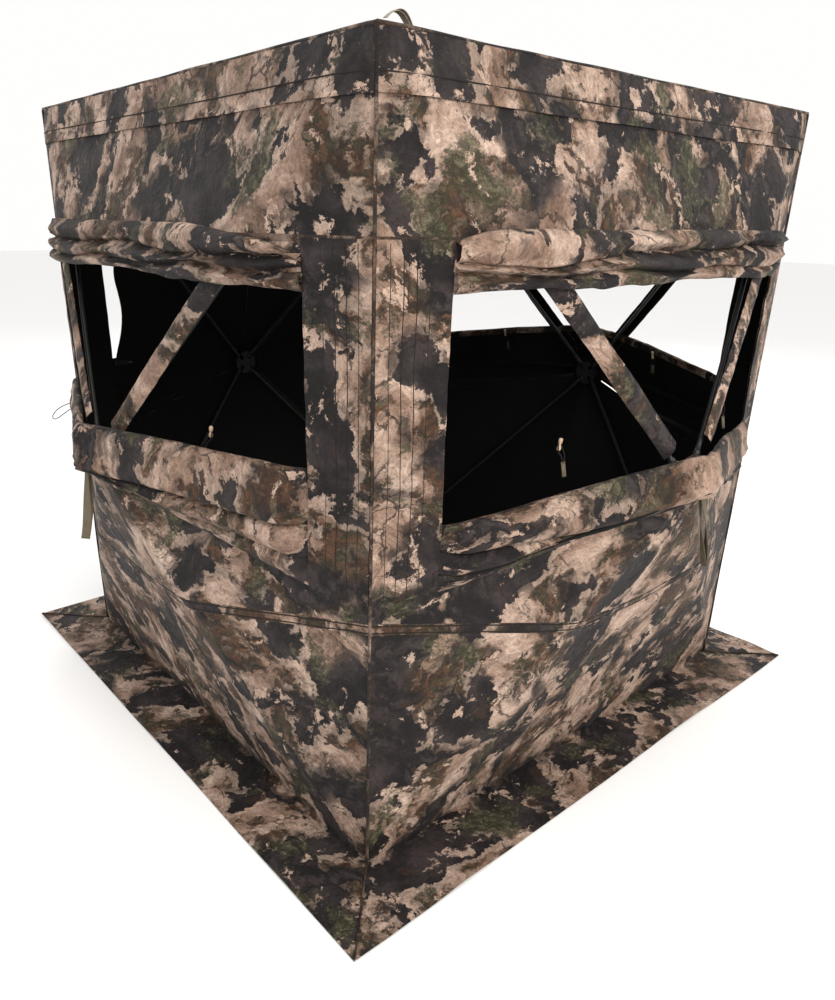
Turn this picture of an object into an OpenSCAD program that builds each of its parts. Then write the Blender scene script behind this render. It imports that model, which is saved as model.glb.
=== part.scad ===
// Hub-style pop up ground blind: a square fabric shelter whose four walls and roof
// are each held out by a central hub and four sprung rods. Millimetres, +Z up.
// Origin: middle of the footprint, on the ground. Walls are counted from the front
// (-Y), turning 90 degrees each: front, right (+X), back (+Y), left (-X).

/* [Shelter] */
// Length of each side along the ground and along the roof edge
side = 1470; // [1200:10:1800]
// Height of the four top corners above the ground
corner_h = 1620; // [1400:10:1900]
// How far each wall hub stands out past the line between the corners
wall_bulge = 240; // [160:5:320]
// How far the roof hub stands up above the corners
roof_bulge = 170; // [120:5:220]
// Width of the flap of cloth that lies on the ground all round
skirt_w = 175; // [100:5:250]
// Thickness of the cloth solids
cloth_t = 3; // [2:0.5:4]

/* [Windows] */
// Distance of a window's end from the middle of its wall
window_end = 600; // [500:5:640]
// Height of a window's upper edge
window_top = 1315; // [1200:5:1400]
// Height of the sill at the window's ends
sill_end_h = 655; // [600:5:720]
// Height of the sill beside the hub
sill_mid_h = 795; // [740:5:805]
// Height of the lower cover's top edge beside the hub
cover_top_h = 905; // [880:5:930]
// Height of the rolled upper cover, from its lower edge to its top
roll_h = 85; // [60:5:100]
// Thickness of the rolled upper cover
roll_t = 30; // [20:2:40]

/* [Hubs and rods] */
// Radius of a hub's body
hub_r = 42; // [38:1:50]
// Thickness of a hub's body
hub_t = 24; // [20:1:30]
// Distance of a rod's pivot pin from the hub's axis
pivot_r = 30; // [28:1:34]
// Radius of a pivot pin
pin_r = 3; // [2.5:0.5:4]
// Radius of a rod
rod_r = 5.5; // [4:0.5:6.5]
// Radius of the cap over the cloth, outside each hub
cap_r = 36; // [30:1:40]
// Length of a pull strap's loop
strap_len = 190; // [120:5:220]
// Width of the pull strap's webbing
strap_w = 25; // [20:1:38]

/* [Door] */
// Gap between the door flap and its zips, measured along the height
zip_gap = 25; // [20:1:35]
// Width of a zip's tape, measured along the height
zip_w = 15; // [12:1:18]

/* [Hidden] */
$fn = 48;

FRONT = 0;
RIGHT = 1;
BACK = 2;
LEFT = 3;
ROOF = 4;

half = side / 2;
hub_h = corner_h / 2;
side_tilt = atan(wall_bulge / half);
face_tilt = atan(wall_bulge / hub_h);
roof_tilt = atan(roof_bulge / half);

// Clearances: between cloth panels at a seam, and round each hub
seam_gap = 3;
hub_clear = 62;
ground_gap = 4;
top_gap = 5;

// Rod ends: how far each tip stops short of the corner, and how far inside the cloth
tip_short = 70;
tip_in = 30;
tip_low = 75;
roof_tip_low = 30;
pivot_in = 28;

wall_tip = [half - tip_short, hub_h - tip_low];
roof_tip = [half - tip_short, half - tip_short];

// Cloth and webbing that lies over the hubs
cover_out = 30;
cover_in = 8;
ring_gap = 0.05;

camo_tan = [0.55, 0.47, 0.38];
camo_grey = [0.36, 0.33, 0.32];
camo_olive = [0.33, 0.32, 0.22];
black_cloth = [0.05, 0.05, 0.05];
webbing = [0.42, 0.38, 0.27];
hub_black = [0.08, 0.08, 0.08];
rod_grey = [0.12, 0.12, 0.13];
steel = [0.7, 0.7, 0.72];
tan_plastic = [0.72, 0.6, 0.45];

// Height of the lower and upper ridge of a wall, at a distance u from its middle
function ridge_low(u) = hub_h - hub_h * u / half;
function ridge_high(u) = hub_h + hub_h * u / half;
// Distance of a ridge from the middle of a wall, at a height z
function ridge_u(z) = half * abs(z - hub_h) / hub_h;
// How far a wall's side face stands out, at a distance u from its middle
function stand_out(u) = wall_bulge * (1 - u / half);

// ---- Frames -------------------------------------------------------------------
// A wall's own frame is the front wall's; the other walls are turned round from it.
module on_wall(wall) {
    rotate([0, 0, 90 * wall]) children();
}

// A hub's frame: x and y in the plane of the wall or roof, z straight outward from it.
module on_hub(place) {
    if (place == ROOF) {
        translate([0, 0, corner_h]) children();
    } else {
        on_wall(place) translate([0, -half, hub_h]) rotate([90, 0, 0]) children();
    }
}

function bulge_of(place) = place == ROOF ? roof_bulge : wall_bulge;

// A flat sheet on an upright plane that runs inward from u_edge towards the hub,
// standing out n_edge there and turning out by tilt. Points are [u, z].
module upright_sheet(points, u_edge, n_edge, tilt, thick, out) {
    translate([u_edge, -half - n_edge, 0])
        rotate([90, 0, 180 + tilt])
            translate([0, 0, -out])
                linear_extrude(thick)
                    polygon([for (p = points) [(u_edge - p[0]) / cos(tilt), p[1]]]);
}

// A sheet on a wall's side face, on the right of the hub, out from the face by out
module side_sheet(points, out = 0, thick = cloth_t) {
    upright_sheet(points, half, 0, side_tilt, thick, out);
}

// A sheet on a wall's upper face. Points are [u, z].
module upper_sheet(points, out = 0, thick = cloth_t) {
    translate([0, -half, corner_h])
        rotate([90 - face_tilt, 0, 0])
            translate([0, 0, out - thick])
                linear_extrude(thick)
                    polygon([for (p = points) [p[0], (p[1] - corner_h) / cos(face_tilt)]]);
}

// A sheet on a wall's lower face. Points are [u, z].
module lower_sheet(points, out = 0, thick = cloth_t) {
    translate([0, -half, 0])
        rotate([90 + face_tilt, 0, 0])
            translate([0, 0, out - thick])
                linear_extrude(thick)
                    polygon([for (p = points) [p[0], p[1] / cos(face_tilt)]]);
}

module both_sides() {
    children();
    mirror([1, 0, 0]) children();
}

// ---- Cloth --------------------------------------------------------------------
// The narrow part of a side face between a window's end, or the door, and the corner
module corner_strip(inner) {
    outer = half - top_gap;
    side_sheet([[inner, ridge_low(inner) + seam_gap], [outer, ridge_low(outer) + seam_gap],
        [outer, corner_h - top_gap], [inner, ridge_high(inner) - seam_gap]]);
}

module below_window() {
    side_sheet([[window_end, ridge_low(window_end) + seam_gap], [window_end, sill_end_h],
        [hub_clear, sill_mid_h], [hub_clear, ridge_low(hub_clear) + seam_gap]]);
}

module beside_window_top() {
    side_sheet([[ridge_u(window_top) + 2 * seam_gap, window_top], [window_end, window_top],
        [window_end, ridge_high(window_end) - seam_gap]]);
}

module window_side() {
    corner_strip(window_end + seam_gap);
    below_window();
    beside_window_top();
}

// A wall's upper band and lower face, the same on every wall
module wall_middle() {
    top = corner_h - top_gap;
    top_u = ridge_u(top) - seam_gap;
    window_u = ridge_u(window_top) - seam_gap;
    upper_sheet([[-window_u, window_top], [window_u, window_top], [top_u, top], [-top_u, top]]);
    foot_u = ridge_u(ground_gap) - seam_gap;
    knee = hub_h - hub_clear;
    knee_u = ridge_u(knee) - seam_gap;
    lower_sheet([[-foot_u, ground_gap], [foot_u, ground_gap], [knee_u, knee], [-knee_u, knee]]);
}

module window_wall(wall) {
    color(camo_tan) on_wall(wall) {
        wall_middle();
        both_sides() window_side();
    }
}

module wall_front() { window_wall(FRONT); }
module wall_right() { window_wall(RIGHT); }
module wall_back() { window_wall(BACK); }

// The left wall has a window on one side and the door on the other
door_edge = 700;
hinge_u = 715;
module wall_left() {
    color(camo_grey) on_wall(LEFT) {
        wall_middle();
        window_side();
        mirror([1, 0, 0]) corner_strip(hinge_u);
    }
}

module roof_panel() {
    foot = half - seam_gap;
    tip = hub_clear;
    color(camo_grey) for (wall = [FRONT : LEFT])
        on_wall(wall)
            translate([0, -half, corner_h])
                rotate([roof_tilt, 0, 0])
                    translate([0, 0, -cloth_t])
                        linear_extrude(cloth_t)
                            polygon([[-foot + seam_gap, seam_gap], [foot - seam_gap, seam_gap],
                                [tip, (half - tip - seam_gap) / cos(roof_tilt)],
                                [-tip, (half - tip - seam_gap) / cos(roof_tilt)]]);
}

// The roof's edge band, which hangs over the top of each wall
hem_low = 1525;
module roof_hem() {
    low_u = ridge_u(hem_low) - seam_gap;
    top_u = half - seam_gap;
    color(camo_olive) for (wall = [FRONT : LEFT])
        on_wall(wall) {
            upper_sheet([[-low_u, hem_low], [low_u, hem_low], [top_u, corner_h], [-top_u, corner_h]], 7);
            both_sides()
                side_sheet([[low_u + 3 * seam_gap, hem_low], [half - 2, hem_low],
                    [half - 2, corner_h - 3 * seam_gap]], 7);
        }
}

// Cloth strips over the rods, where they cross the windows
sleeve_w = 50;
sleeve_out = 4;
roll_above = 20;
module rod_sleeves() {
    reach_in = hub_clear + 12;
    across = sqrt(half * half + hub_h * hub_h);
    roll_low = window_top + roll_above - roll_h;
    reach_out = across * (roll_low - seam_gap * 2 - hub_h) / hub_h - sleeve_w / 2;
    fall = atan(wall_bulge / across);
    color(camo_tan) for (wall = [FRONT, RIGHT, BACK])
        on_hub(wall)
            for (turn = [ridge_turn(), 180 - ridge_turn()])
                rotate([0, 0, turn])
                    translate([0, 0, wall_bulge])
                        rotate([0, fall, 0])
                            translate([reach_in, -sleeve_w / 2, sleeve_out])
                                cube([reach_out - reach_in, sleeve_w, 2]);
}

function ridge_turn() = atan2(hub_h, half);

// The doubled, stitched panels that wrap each corner between the windows
module corner_panel(inner) {
    outer = half - seam_gap;
    side_sheet([[inner, sill_end_h], [outer, sill_end_h], [outer, window_top], [inner, window_top]], 8);
}

module corner_panels() {
    color(camo_tan) for (wall = [FRONT : LEFT])
        on_wall(wall) {
            corner_panel(window_end + 6);
            mirror([1, 0, 0]) corner_panel(wall == LEFT ? hinge_u + seam_gap : window_end + 6);
        }
}

module ground_skirt() {
    inner = half + seam_gap;
    outer = half + skirt_w;
    color(camo_olive) for (wall = [FRONT : LEFT])
        on_wall(wall)
            linear_extrude(cloth_t)
                polygon([[-inner + 1, -inner], [inner - 1, -inner], [outer - 1, -outer], [-outer + 1, -outer]]);
}

// Reinforced pockets in the corners, which the rod tips stand in
pocket_in = 14;
pocket_w = 64;
module pocket_plate(low, high) {
    translate([half - pocket_in - 4 - pocket_w, -half + pocket_in - cloth_t, low])
        cube([pocket_w, cloth_t, high - low]);
}

// The door swings past its own corner, so that side of the left wall has no plate
module corner_pocket(low, high, floor_z) {
    far = half - pocket_in - 4;
    for (wall = [FRONT : LEFT])
        on_wall(wall) {
            pocket_plate(low, high);
            if (wall != LEFT) mirror([1, 0, 0]) pocket_plate(low, high);
            translate([0, 0, floor_z])
                linear_extrude(cloth_t)
                    polygon([[far, -far], [far - pocket_w, -far], [far, -far + pocket_w]]);
        }
}

module corner_pockets() {
    color(black_cloth) {
        corner_pocket(corner_h - 120, corner_h - 16, corner_h - 12);
        corner_pocket(16, 120, 9);
    }
}

// The rolled-up part of a window's cover, along the window's upper edge
module rolled_cover() {
    low = window_top + roll_above - roll_h;
    high = window_top + roll_above;
    corner_u = ridge_u(window_top) - 18;
    upper_sheet([[-corner_u, low], [corner_u, low], [corner_u, high], [-corner_u, high]], roll_t + 4, roll_t);
    both_sides()
        side_sheet([[corner_u + 12, low], [window_end - 6, low], [window_end - 6, high], [corner_u + 12, high]],
            roll_t + 4, roll_t);
}

module upper_covers() {
    color(camo_tan) for (wall = [FRONT, RIGHT, BACK]) on_wall(wall) rolled_cover();
}

// The lowered part of a window's cover: a taut band over the hub, and folds under it
module cover_sheet(points, n_mid) {
    end = window_end - 6;
    n_end = stand_out(end) + cover_in;
    upright_sheet(points, end, n_end, atan((n_mid - n_end) / end), cloth_t, 0);
}

module cover_band() {
    end = window_end - 6;
    cover_sheet([[end, sill_end_h + 80], [end, sill_end_h + 185], [100, cover_top_h], [2, cover_top_h], [2, 745]],
        wall_bulge + cover_out);
}

module cover_fold() {
    end = window_end - 6;
    cover_sheet([[end, sill_end_h], [end, sill_end_h + 76], [60, 735], [60, 690]], wall_bulge + cover_in);
}

module lower_cover(wall) {
    color(camo_olive) on_wall(wall)
        both_sides() {
            cover_band();
            cover_fold();
        }
}

module lower_cover_front() { lower_cover(FRONT); }
module lower_cover_right() { lower_cover(RIGHT); }
module lower_cover_back() { lower_cover(BACK); }

// The left wall's cover is closed: it fills the whole window
module window_cover_left() {
    mid_u = ridge_u(window_top) - seam_gap;
    nose = hub_h + hub_clear;
    end = window_end - 6;
    color(camo_grey) on_wall(LEFT) {
        upper_sheet([[-mid_u, window_top - seam_gap], [-ridge_u(nose), nose], [ridge_u(nose), nose],
            [mid_u, window_top - seam_gap]]);
        side_sheet([[hub_clear, sill_mid_h + 4], [end, sill_end_h + 4], [end, window_top - seam_gap],
            [mid_u + 3 * seam_gap, window_top - seam_gap], [hub_clear, ridge_high(hub_clear) - 2 * seam_gap]]);
        cover_band();
    }
}

// ---- Door ---------------------------------------------------------------------
// The whole side face towards the back corner is the door. Two zips free it.
module door_zips() {
    inner = hub_clear + 4;
    color(black_cloth) on_wall(LEFT) mirror([1, 0, 0]) {
        side_sheet([[inner, ridge_low(inner) + 6], [door_edge, ridge_low(door_edge) + 6],
            [door_edge, ridge_low(door_edge) + 6 + zip_w], [inner, ridge_low(inner) + 6 + zip_w]]);
        side_sheet([[inner, ridge_high(inner) - 6], [door_edge, ridge_high(door_edge) - 6],
            [door_edge, ridge_high(door_edge) - 6 - zip_w], [inner, ridge_high(inner) - 6 - zip_w]]);
    }
}

module door_flap() {
    inner = hub_clear + 8;
    top = hem_low - 3 * seam_gap;
    top_u = ridge_u(top + zip_gap);
    color(camo_grey) on_wall(LEFT) mirror([1, 0, 0])
        side_sheet([[inner, ridge_low(inner) + zip_gap], [door_edge, ridge_low(door_edge) + zip_gap],
            [door_edge, top], [top_u, top], [inner, ridge_high(inner) - zip_gap]]);
}

// The slider and its pull, at the closed end of the upper zip
slider_u = 90;
module zip_slider() {
    z = ridge_high(slider_u) - 6 - zip_w / 2;
    lean = atan2(hub_h, half / cos(side_tilt));
    color(steel) on_wall(LEFT) mirror([1, 0, 0])
        translate([half, -half, 0])
            rotate([90, 0, 180 + side_tilt])
                translate([(half - slider_u) / cos(side_tilt), z, -6.5])
                    rotate([0, 0, -lean]) {
                        translate([-9, -4, 0]) cube([18, 8, 6]);
                        translate([9.2, -2.5, 1.5]) cube([30, 5, 2]);
                    }
}

// ---- Toggles and elastic ------------------------------------------------------
toggle_len = 34;
toggle_r = 5;
module window_toggles() {
    color(tan_plastic) for (wall = [FRONT, RIGHT, BACK])
        on_wall(wall)
            both_sides()
                translate([330, -half - stand_out(330) + 28, cover_top_h + 12])
                    rotate([0, 12, 0]) {
                        cylinder(h = toggle_len, r = toggle_r);
                        translate([0, 0, toggle_len]) cylinder(h = 4, r1 = toggle_r, r2 = 2);
                    }
}

// A loop of elastic with a knot, from the end of the front window's cover
cord_r = 1.3;
cord_points = [[-600, -789, 816], [-608, -799, 815], [-618, -811, 811], [-629, -824, 804],
    [-639, -836, 795], [-647, -846, 784], [-651, -852, 773], [-650, -853, 765],
    [-645, -848, 763], [-638, -839, 768], [-630, -829, 777], [-621, -818, 787],
    [-612, -807, 796], [-603, -796, 805]];
cord_sides = 8;
function unit(v) = v / norm(v);
function way(i) = unit(cord_points[min(i + 1, len(cord_points) - 1)] - cord_points[max(i - 1, 0)]);
function across(i) = unit(cross(way(i), [0.3, -0.9, 0.2]));
function cord_ring(i) = [for (k = [0 : cord_sides - 1])
    cord_points[i] + cord_r * (cos(360 * k / cord_sides) * across(i)
    + sin(360 * k / cord_sides) * cross(way(i), across(i)))];
module cinch_cord() {
    rings = len(cord_points);
    color(hub_black) polyhedron(
        points = [for (i = [0 : rings - 1]) each cord_ring(i)],
        faces = concat(
            [[for (k = [0 : cord_sides - 1]) k]],
            [for (i = [0 : rings - 2]) for (k = [0 : cord_sides - 1])
                let (a = i * cord_sides + k, b = i * cord_sides + (k + 1) % cord_sides)
                [a, a + cord_sides, b + cord_sides, b]],
            [[for (k = [cord_sides - 1 : -1 : 0]) (rings - 1) * cord_sides + k]]));
}

// ---- Hubs ---------------------------------------------------------------------
rod_turns = [180 - ridge_turn(), ridge_turn(), 180 + ridge_turn(), -ridge_turn()];
roof_turns = [135, 45, 225, -45];
slot_w = 14;
core_r = 18;
pin_len = 34;

module hub_body(place) {
    turns = place == ROOF ? roof_turns : rod_turns;
    middle = bulge_of(place) - pivot_in;
    color(hub_black) on_hub(place) difference() {
        translate([0, 0, middle - hub_t / 2]) cylinder(h = hub_t, r = hub_r);
        for (turn = turns)
            rotate([0, 0, turn]) {
                translate([core_r, -slot_w / 2, middle - hub_t]) cube([hub_r, slot_w, 2 * hub_t]);
                translate([pivot_r, 0, middle]) rotate([90, 0, 0])
                    cylinder(h = pin_len + 1, r = pin_r + ring_gap / 2, center = true);
            }
    }
}

module hub_front() { hub_body(FRONT); }
module hub_right() { hub_body(RIGHT); }
module hub_back() { hub_body(BACK); }
module hub_left() { hub_body(LEFT); }
module hub_roof() { hub_body(ROOF); }

// Domed cap outside the cloth, with the stem that clamps it to the hub
module hub_cap(place) {
    top = bulge_of(place);
    stem_foot = top - pivot_in + hub_t / 2;
    color(hub_black) on_hub(place) rotate_extrude()
        polygon([[0, stem_foot], [8, stem_foot], [8, top + 2], [cap_r, top + 2], [cap_r, top + 4],
            [cap_r - 8, top + 8], [16, top + 9], [0, top + 9]]);
}

module hub_cap_front() { hub_cap(FRONT); }
module hub_cap_right() { hub_cap(RIGHT); }
module hub_cap_back() { hub_cap(BACK); }
module hub_cap_left() { hub_cap(LEFT); }
module hub_cap_roof() { hub_cap(ROOF); }

module hub_pins(place) {
    turns = place == ROOF ? roof_turns : rod_turns;
    color(steel) on_hub(place)
        for (turn = turns)
            rotate([0, 0, turn])
                translate([pivot_r, 0, bulge_of(place) - pivot_in])
                    rotate([90, 0, 0]) cylinder(h = pin_len, r = pin_r, center = true);
}

module hub_pins_front() { hub_pins(FRONT); }
module hub_pins_right() { hub_pins(RIGHT); }
module hub_pins_back() { hub_pins(BACK); }
module hub_pins_left() { hub_pins(LEFT); }
module hub_pins_roof() { hub_pins(ROOF); }

// A loop of webbing from the middle of the cap
strap_loop = 12;
strap_t = 2;
module pull_strap(place) {
    foot = bulge_of(place) + 9.2;
    color(webbing) on_hub(place)
        rotate([90, 0, 90])
            linear_extrude(strap_w, center = true)
                difference() {
                    strap_outline(foot, 0);
                    strap_outline(foot, strap_t);
                }
}

module strap_outline(foot, inset) {
    r = strap_loop / 2 - inset;
    hull() {
        translate([0, foot + strap_loop / 2]) circle(r = r, $fn = 32);
        translate([-strap_len + strap_loop, foot + strap_loop / 2]) circle(r = r, $fn = 32);
    }
}

module pull_strap_front() { pull_strap(FRONT); }
module pull_strap_right() { pull_strap(RIGHT); }
module pull_strap_back() { pull_strap(BACK); }
module pull_strap_left() { pull_strap(LEFT); }
module pull_strap_roof() { pull_strap(ROOF); }

// ---- Rods ---------------------------------------------------------------------
// A rod runs from its pivot in the hub, along x: an eye, a sprung rod, and a tip.
socket_len = 60;
tip_len = 26;
module rod(place, which) {
    turn = place == ROOF ? roof_turns[which] : wall_turns[which];
    end = place == ROOF ? norm(roof_tip) : norm(wall_tip);
    drop = place == ROOF ? roof_bulge - pivot_in + roof_tip_low : wall_bulge - pivot_in + tip_in;
    run = end - pivot_r;
    span = norm([run, drop]);
    on_hub(place)
        rotate([0, 0, turn])
            translate([pivot_r, 0, bulge_of(place) - pivot_in])
                rotate([0, atan2(drop, run), 0])
                    rod_pieces(span);
}

// The rods point at their own tips, so they turn a little less than the ridges
tip_turn = atan2(wall_tip[1], wall_tip[0]);
wall_turns = [180 - tip_turn, tip_turn, 180 + tip_turn, -tip_turn];

module rod_pieces(span) {
    color(hub_black) difference() {
        union() {
            rotate([90, 0, 0]) cylinder(h = slot_w - 2, r = 7, center = true);
            translate([0, -slot_w / 2 + 1, -5]) cube([20, slot_w - 2, 10]);
            translate([18, 0, 0]) rotate([0, 90, 0]) cylinder(h = socket_len - 18, r = rod_r + 2);
        }
        rotate([90, 0, 0]) cylinder(h = slot_w, r = pin_r + ring_gap, center = true);
        translate([24, 0, 0]) rotate([0, 90, 0]) cylinder(h = socket_len, r = rod_r + ring_gap);
    }
    color(rod_grey) translate([24.1, 0, 0]) rotate([0, 90, 0])
        cylinder(h = span - 24.1 - 6.1, r = rod_r);
    color(hub_black) difference() {
        translate([span - tip_len, 0, 0]) rotate([0, 90, 0]) cylinder(h = tip_len, r = rod_r + 2);
        translate([span - tip_len - 1, 0, 0]) rotate([0, 90, 0])
            cylinder(h = tip_len - 5, r = rod_r + ring_gap);
    }
}

module rod_front_top_left() { rod(FRONT, 0); }
module rod_front_top_right() { rod(FRONT, 1); }
module rod_front_low_left() { rod(FRONT, 2); }
module rod_front_low_right() { rod(FRONT, 3); }
module rod_right_top_left() { rod(RIGHT, 0); }
module rod_right_top_right() { rod(RIGHT, 1); }
module rod_right_low_left() { rod(RIGHT, 2); }
module rod_right_low_right() { rod(RIGHT, 3); }
module rod_back_top_left() { rod(BACK, 0); }
module rod_back_top_right() { rod(BACK, 1); }
module rod_back_low_left() { rod(BACK, 2); }
module rod_back_low_right() { rod(BACK, 3); }
module rod_left_top_left() { rod(LEFT, 0); }
module rod_left_top_right() { rod(LEFT, 1); }
module rod_left_low_left() { rod(LEFT, 2); }
module rod_left_low_right() { rod(LEFT, 3); }
module rod_roof_back_left() { rod(ROOF, 0); }
module rod_roof_back_right() { rod(ROOF, 1); }
module rod_roof_front_left() { rod(ROOF, 2); }
module rod_roof_front_right() { rod(ROOF, 3); }

roof_panel();
roof_hem();
wall_front();
wall_right();
wall_back();
wall_left();
rod_sleeves();
corner_panels();
ground_skirt();
corner_pockets();
upper_covers();
lower_cover_front();
lower_cover_right();
lower_cover_back();
window_cover_left();
door_zips();
door_flap();
zip_slider();
window_toggles();
cinch_cord();
hub_front();
hub_right();
hub_back();
hub_left();
hub_roof();
hub_cap_front();
hub_cap_right();
hub_cap_back();
hub_cap_left();
hub_cap_roof();
hub_pins_front();
hub_pins_right();
hub_pins_back();
hub_pins_left();
hub_pins_roof();
pull_strap_front();
pull_strap_right();
pull_strap_back();
pull_strap_left();
pull_strap_roof();
rod_front_top_left();
rod_front_top_right();
rod_front_low_left();
rod_front_low_right();
rod_right_top_left();
rod_right_top_right();
rod_right_low_left();
rod_right_low_right();
rod_back_top_left();
rod_back_top_right();
rod_back_low_left();
rod_back_low_right();
rod_left_top_left();
rod_left_top_right();
rod_left_low_left();
rod_left_low_right();
rod_roof_back_left();
rod_roof_back_right();
rod_roof_front_left();
rod_roof_front_right();
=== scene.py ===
import math
import bmesh
import bpy
import numpy as np
from mathutils import Matrix, Vector, noise


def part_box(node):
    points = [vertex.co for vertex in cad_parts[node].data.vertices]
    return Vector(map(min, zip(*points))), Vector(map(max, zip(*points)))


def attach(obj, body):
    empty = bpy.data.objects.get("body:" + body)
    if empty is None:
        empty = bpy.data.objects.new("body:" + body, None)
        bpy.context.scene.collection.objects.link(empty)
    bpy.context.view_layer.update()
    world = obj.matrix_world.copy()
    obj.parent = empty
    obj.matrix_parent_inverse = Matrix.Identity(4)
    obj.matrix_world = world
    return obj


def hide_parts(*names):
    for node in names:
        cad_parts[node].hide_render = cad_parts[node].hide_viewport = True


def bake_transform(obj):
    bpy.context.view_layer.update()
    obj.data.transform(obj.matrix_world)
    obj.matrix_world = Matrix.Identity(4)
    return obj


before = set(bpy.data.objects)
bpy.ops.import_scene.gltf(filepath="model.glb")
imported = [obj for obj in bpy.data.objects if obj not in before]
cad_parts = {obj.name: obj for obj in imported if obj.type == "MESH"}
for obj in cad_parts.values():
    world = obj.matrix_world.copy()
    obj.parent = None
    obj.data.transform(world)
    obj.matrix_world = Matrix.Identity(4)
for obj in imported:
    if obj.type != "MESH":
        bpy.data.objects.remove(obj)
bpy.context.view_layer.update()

print("frame loaded")

# camera and studio
camera = {"place": (1.7630, -1.5910, 1.3520), "yaw": 49.661, "pitch": 21.555, "roll": 0.916, "lens": 27.913,
          "shiftX": 0.0393, "shiftY": 0.0234}
studio = {"floor": (0.90, 0.895, 0.89), "floorReach": 30.0, "world": (1.0, 0.995, 0.985), "worldPower": 1.0,
          "lamps": [("keyLight", (5.2, -0.8, 3.6), (0.4, 0.0, 0.7), 3.2, 250, (1.0, 0.955, 0.90)),
                    ("frontLight", (-0.8, -5.4, 3.2), (0.0, -0.4, 0.7), 3.4, 60, (0.97, 0.98, 1.0)),
                    ("topLight", (0.0, 0.0, 5.5), (0.0, 0.0, 1.6), 4.0, 60, (1.0, 0.99, 0.97)),
                    ("backLight", (-4.5, 4.5, 3.4), (0.0, 0.0, 0.8), 3.4, 110, (1.0, 0.98, 0.95))]}


def aimCamera():
    yaw, pitch, roll = (math.radians(camera[k]) for k in ("yaw", "pitch", "roll"))
    ahead = Vector((-math.sin(yaw) * math.cos(pitch), math.cos(yaw) * math.cos(pitch), -math.sin(pitch)))
    right = Vector((math.cos(yaw), math.sin(yaw), 0))
    up = right.cross(ahead)
    rolledRight = right * math.cos(roll) + up * math.sin(roll)
    rolledUp = up * math.cos(roll) - right * math.sin(roll)
    turn = Matrix((rolledRight, rolledUp, -ahead)).transposed()
    eye = bpy.data.objects.new("camera", bpy.data.cameras.new("camera"))
    bpy.context.scene.collection.objects.link(eye)
    eye.matrix_world = Matrix.Translation(camera["place"]) @ turn.to_4x4()
    eye.data.lens, eye.data.clip_end = camera["lens"], 60
    eye.data.shift_x, eye.data.shift_y = camera["shiftX"], camera["shiftY"]
    bpy.context.scene.camera = eye


def softLight(name, place, target, size, power, colour):
    lamp = bpy.data.lights.new(name, "AREA")
    lamp.shape, lamp.size, lamp.energy, lamp.color = "DISK", size, power, colour
    holder = bpy.data.objects.new(name, lamp)
    holder.location = place
    holder.rotation_euler = (Vector(target) - Vector(place)).to_track_quat("-Z", "Y").to_euler()
    bpy.context.scene.collection.objects.link(holder)


aimCamera()
for lamp in studio["lamps"]:
    softLight(*lamp)
print("camera and lights made")

# the shelter's size, from the frame
shelter = {"skirtWide": 0.175, "capStandsOut": 0.009, "ridgeRound": 0.045, "rodBow": 0.12, "sag": 0.014,
           "clothThick": 0.0016, "clothStep": 0.014}
wallNames = ["front", "right", "back", "left"]
roof = 4
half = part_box("ground_skirt")[1][0] - shelter["skirtWide"]
capLow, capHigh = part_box("hub_cap_front")
hubHigh = (capLow[2] + capHigh[2]) / 2
high = 2 * hubHigh
bulge = -capLow[1] - half - shelter["capStandsOut"]
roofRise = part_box("hub_cap_roof")[1][2] - high - shelter["capStandsOut"]


def placeName(place):
    return "roof" if place == roof else wallNames[place]


def sideName(place, sign):
    return wallNames[place] + ("R" if sign > 0 else "L")


def middleOf(place):
    return 0 if place == roof else hubHigh      # the hub's height on a wall; the roof's own middle


def reachOf(place):
    return half if place == roof else hubHigh


def riseOf(place):
    return roofRise if place == roof else bulge


def toRow(place, points):
    # u runs along the wall, n outward from it and z up; on the roof u and z lie flat and n is up
    points = np.asarray(points, float).reshape(-1, 3)
    u, n, z = points[:, 0], points[:, 1], points[:, 2]
    if place == roof:
        return np.stack([u, z, high + n], 1)
    c, s = round(math.cos(place * math.pi / 2)), round(math.sin(place * math.pi / 2))
    x, y = u, -half - n
    return np.stack([c * x - s * y, s * x + c * y, z], 1)


def turnRow(place, vectors):
    return toRow(place, vectors) - toRow(place, [[0, 0, 0]])


def levels(place, u, z):
    # how far in from the sides, and from the top or bottom edge, a point lies: 0 at the edge, 1 at the hub
    across = 1 - np.abs(u) / half
    down = 1 - np.abs(z - middleOf(place)) / reachOf(place)
    return across, down


def standOut(place, u, z):
    across, down = levels(place, u, z)
    gap = across - down
    t = 0.5 * (across + down - np.sqrt(gap * gap + shelter["ridgeRound"] ** 2))
    between = np.clip(np.abs(gap) / (1 - np.minimum(across, down) + 1e-6), 0, 1)
    sag = shelter["sag"] * 4 * t * (1 - t) * (1 - (1 - between) ** 2)
    return riseOf(place) * t * (1 + shelter["rodBow"] * (1 - t)) - sag * (0.6 if place == roof else 1)


def outAt(place, u, z):
    return float(standOut(place, np.array([u]), np.array([z]))[0])


def rough(x, y, z):
    return noise.noise(Vector((x, y, z)))


def ripple(x, y, z):
    return np.array([noise.noise(Vector(at)) for at in zip(np.ravel(x), np.ravel(y), np.ravel(z))])


folds = {"hub": 0.012, "hubReach": 0.32, "corner": 0.009, "cornerReach": 0.28, "broad": 0.0065, "small": 0.0026,
         "fine": 0.0009}


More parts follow.
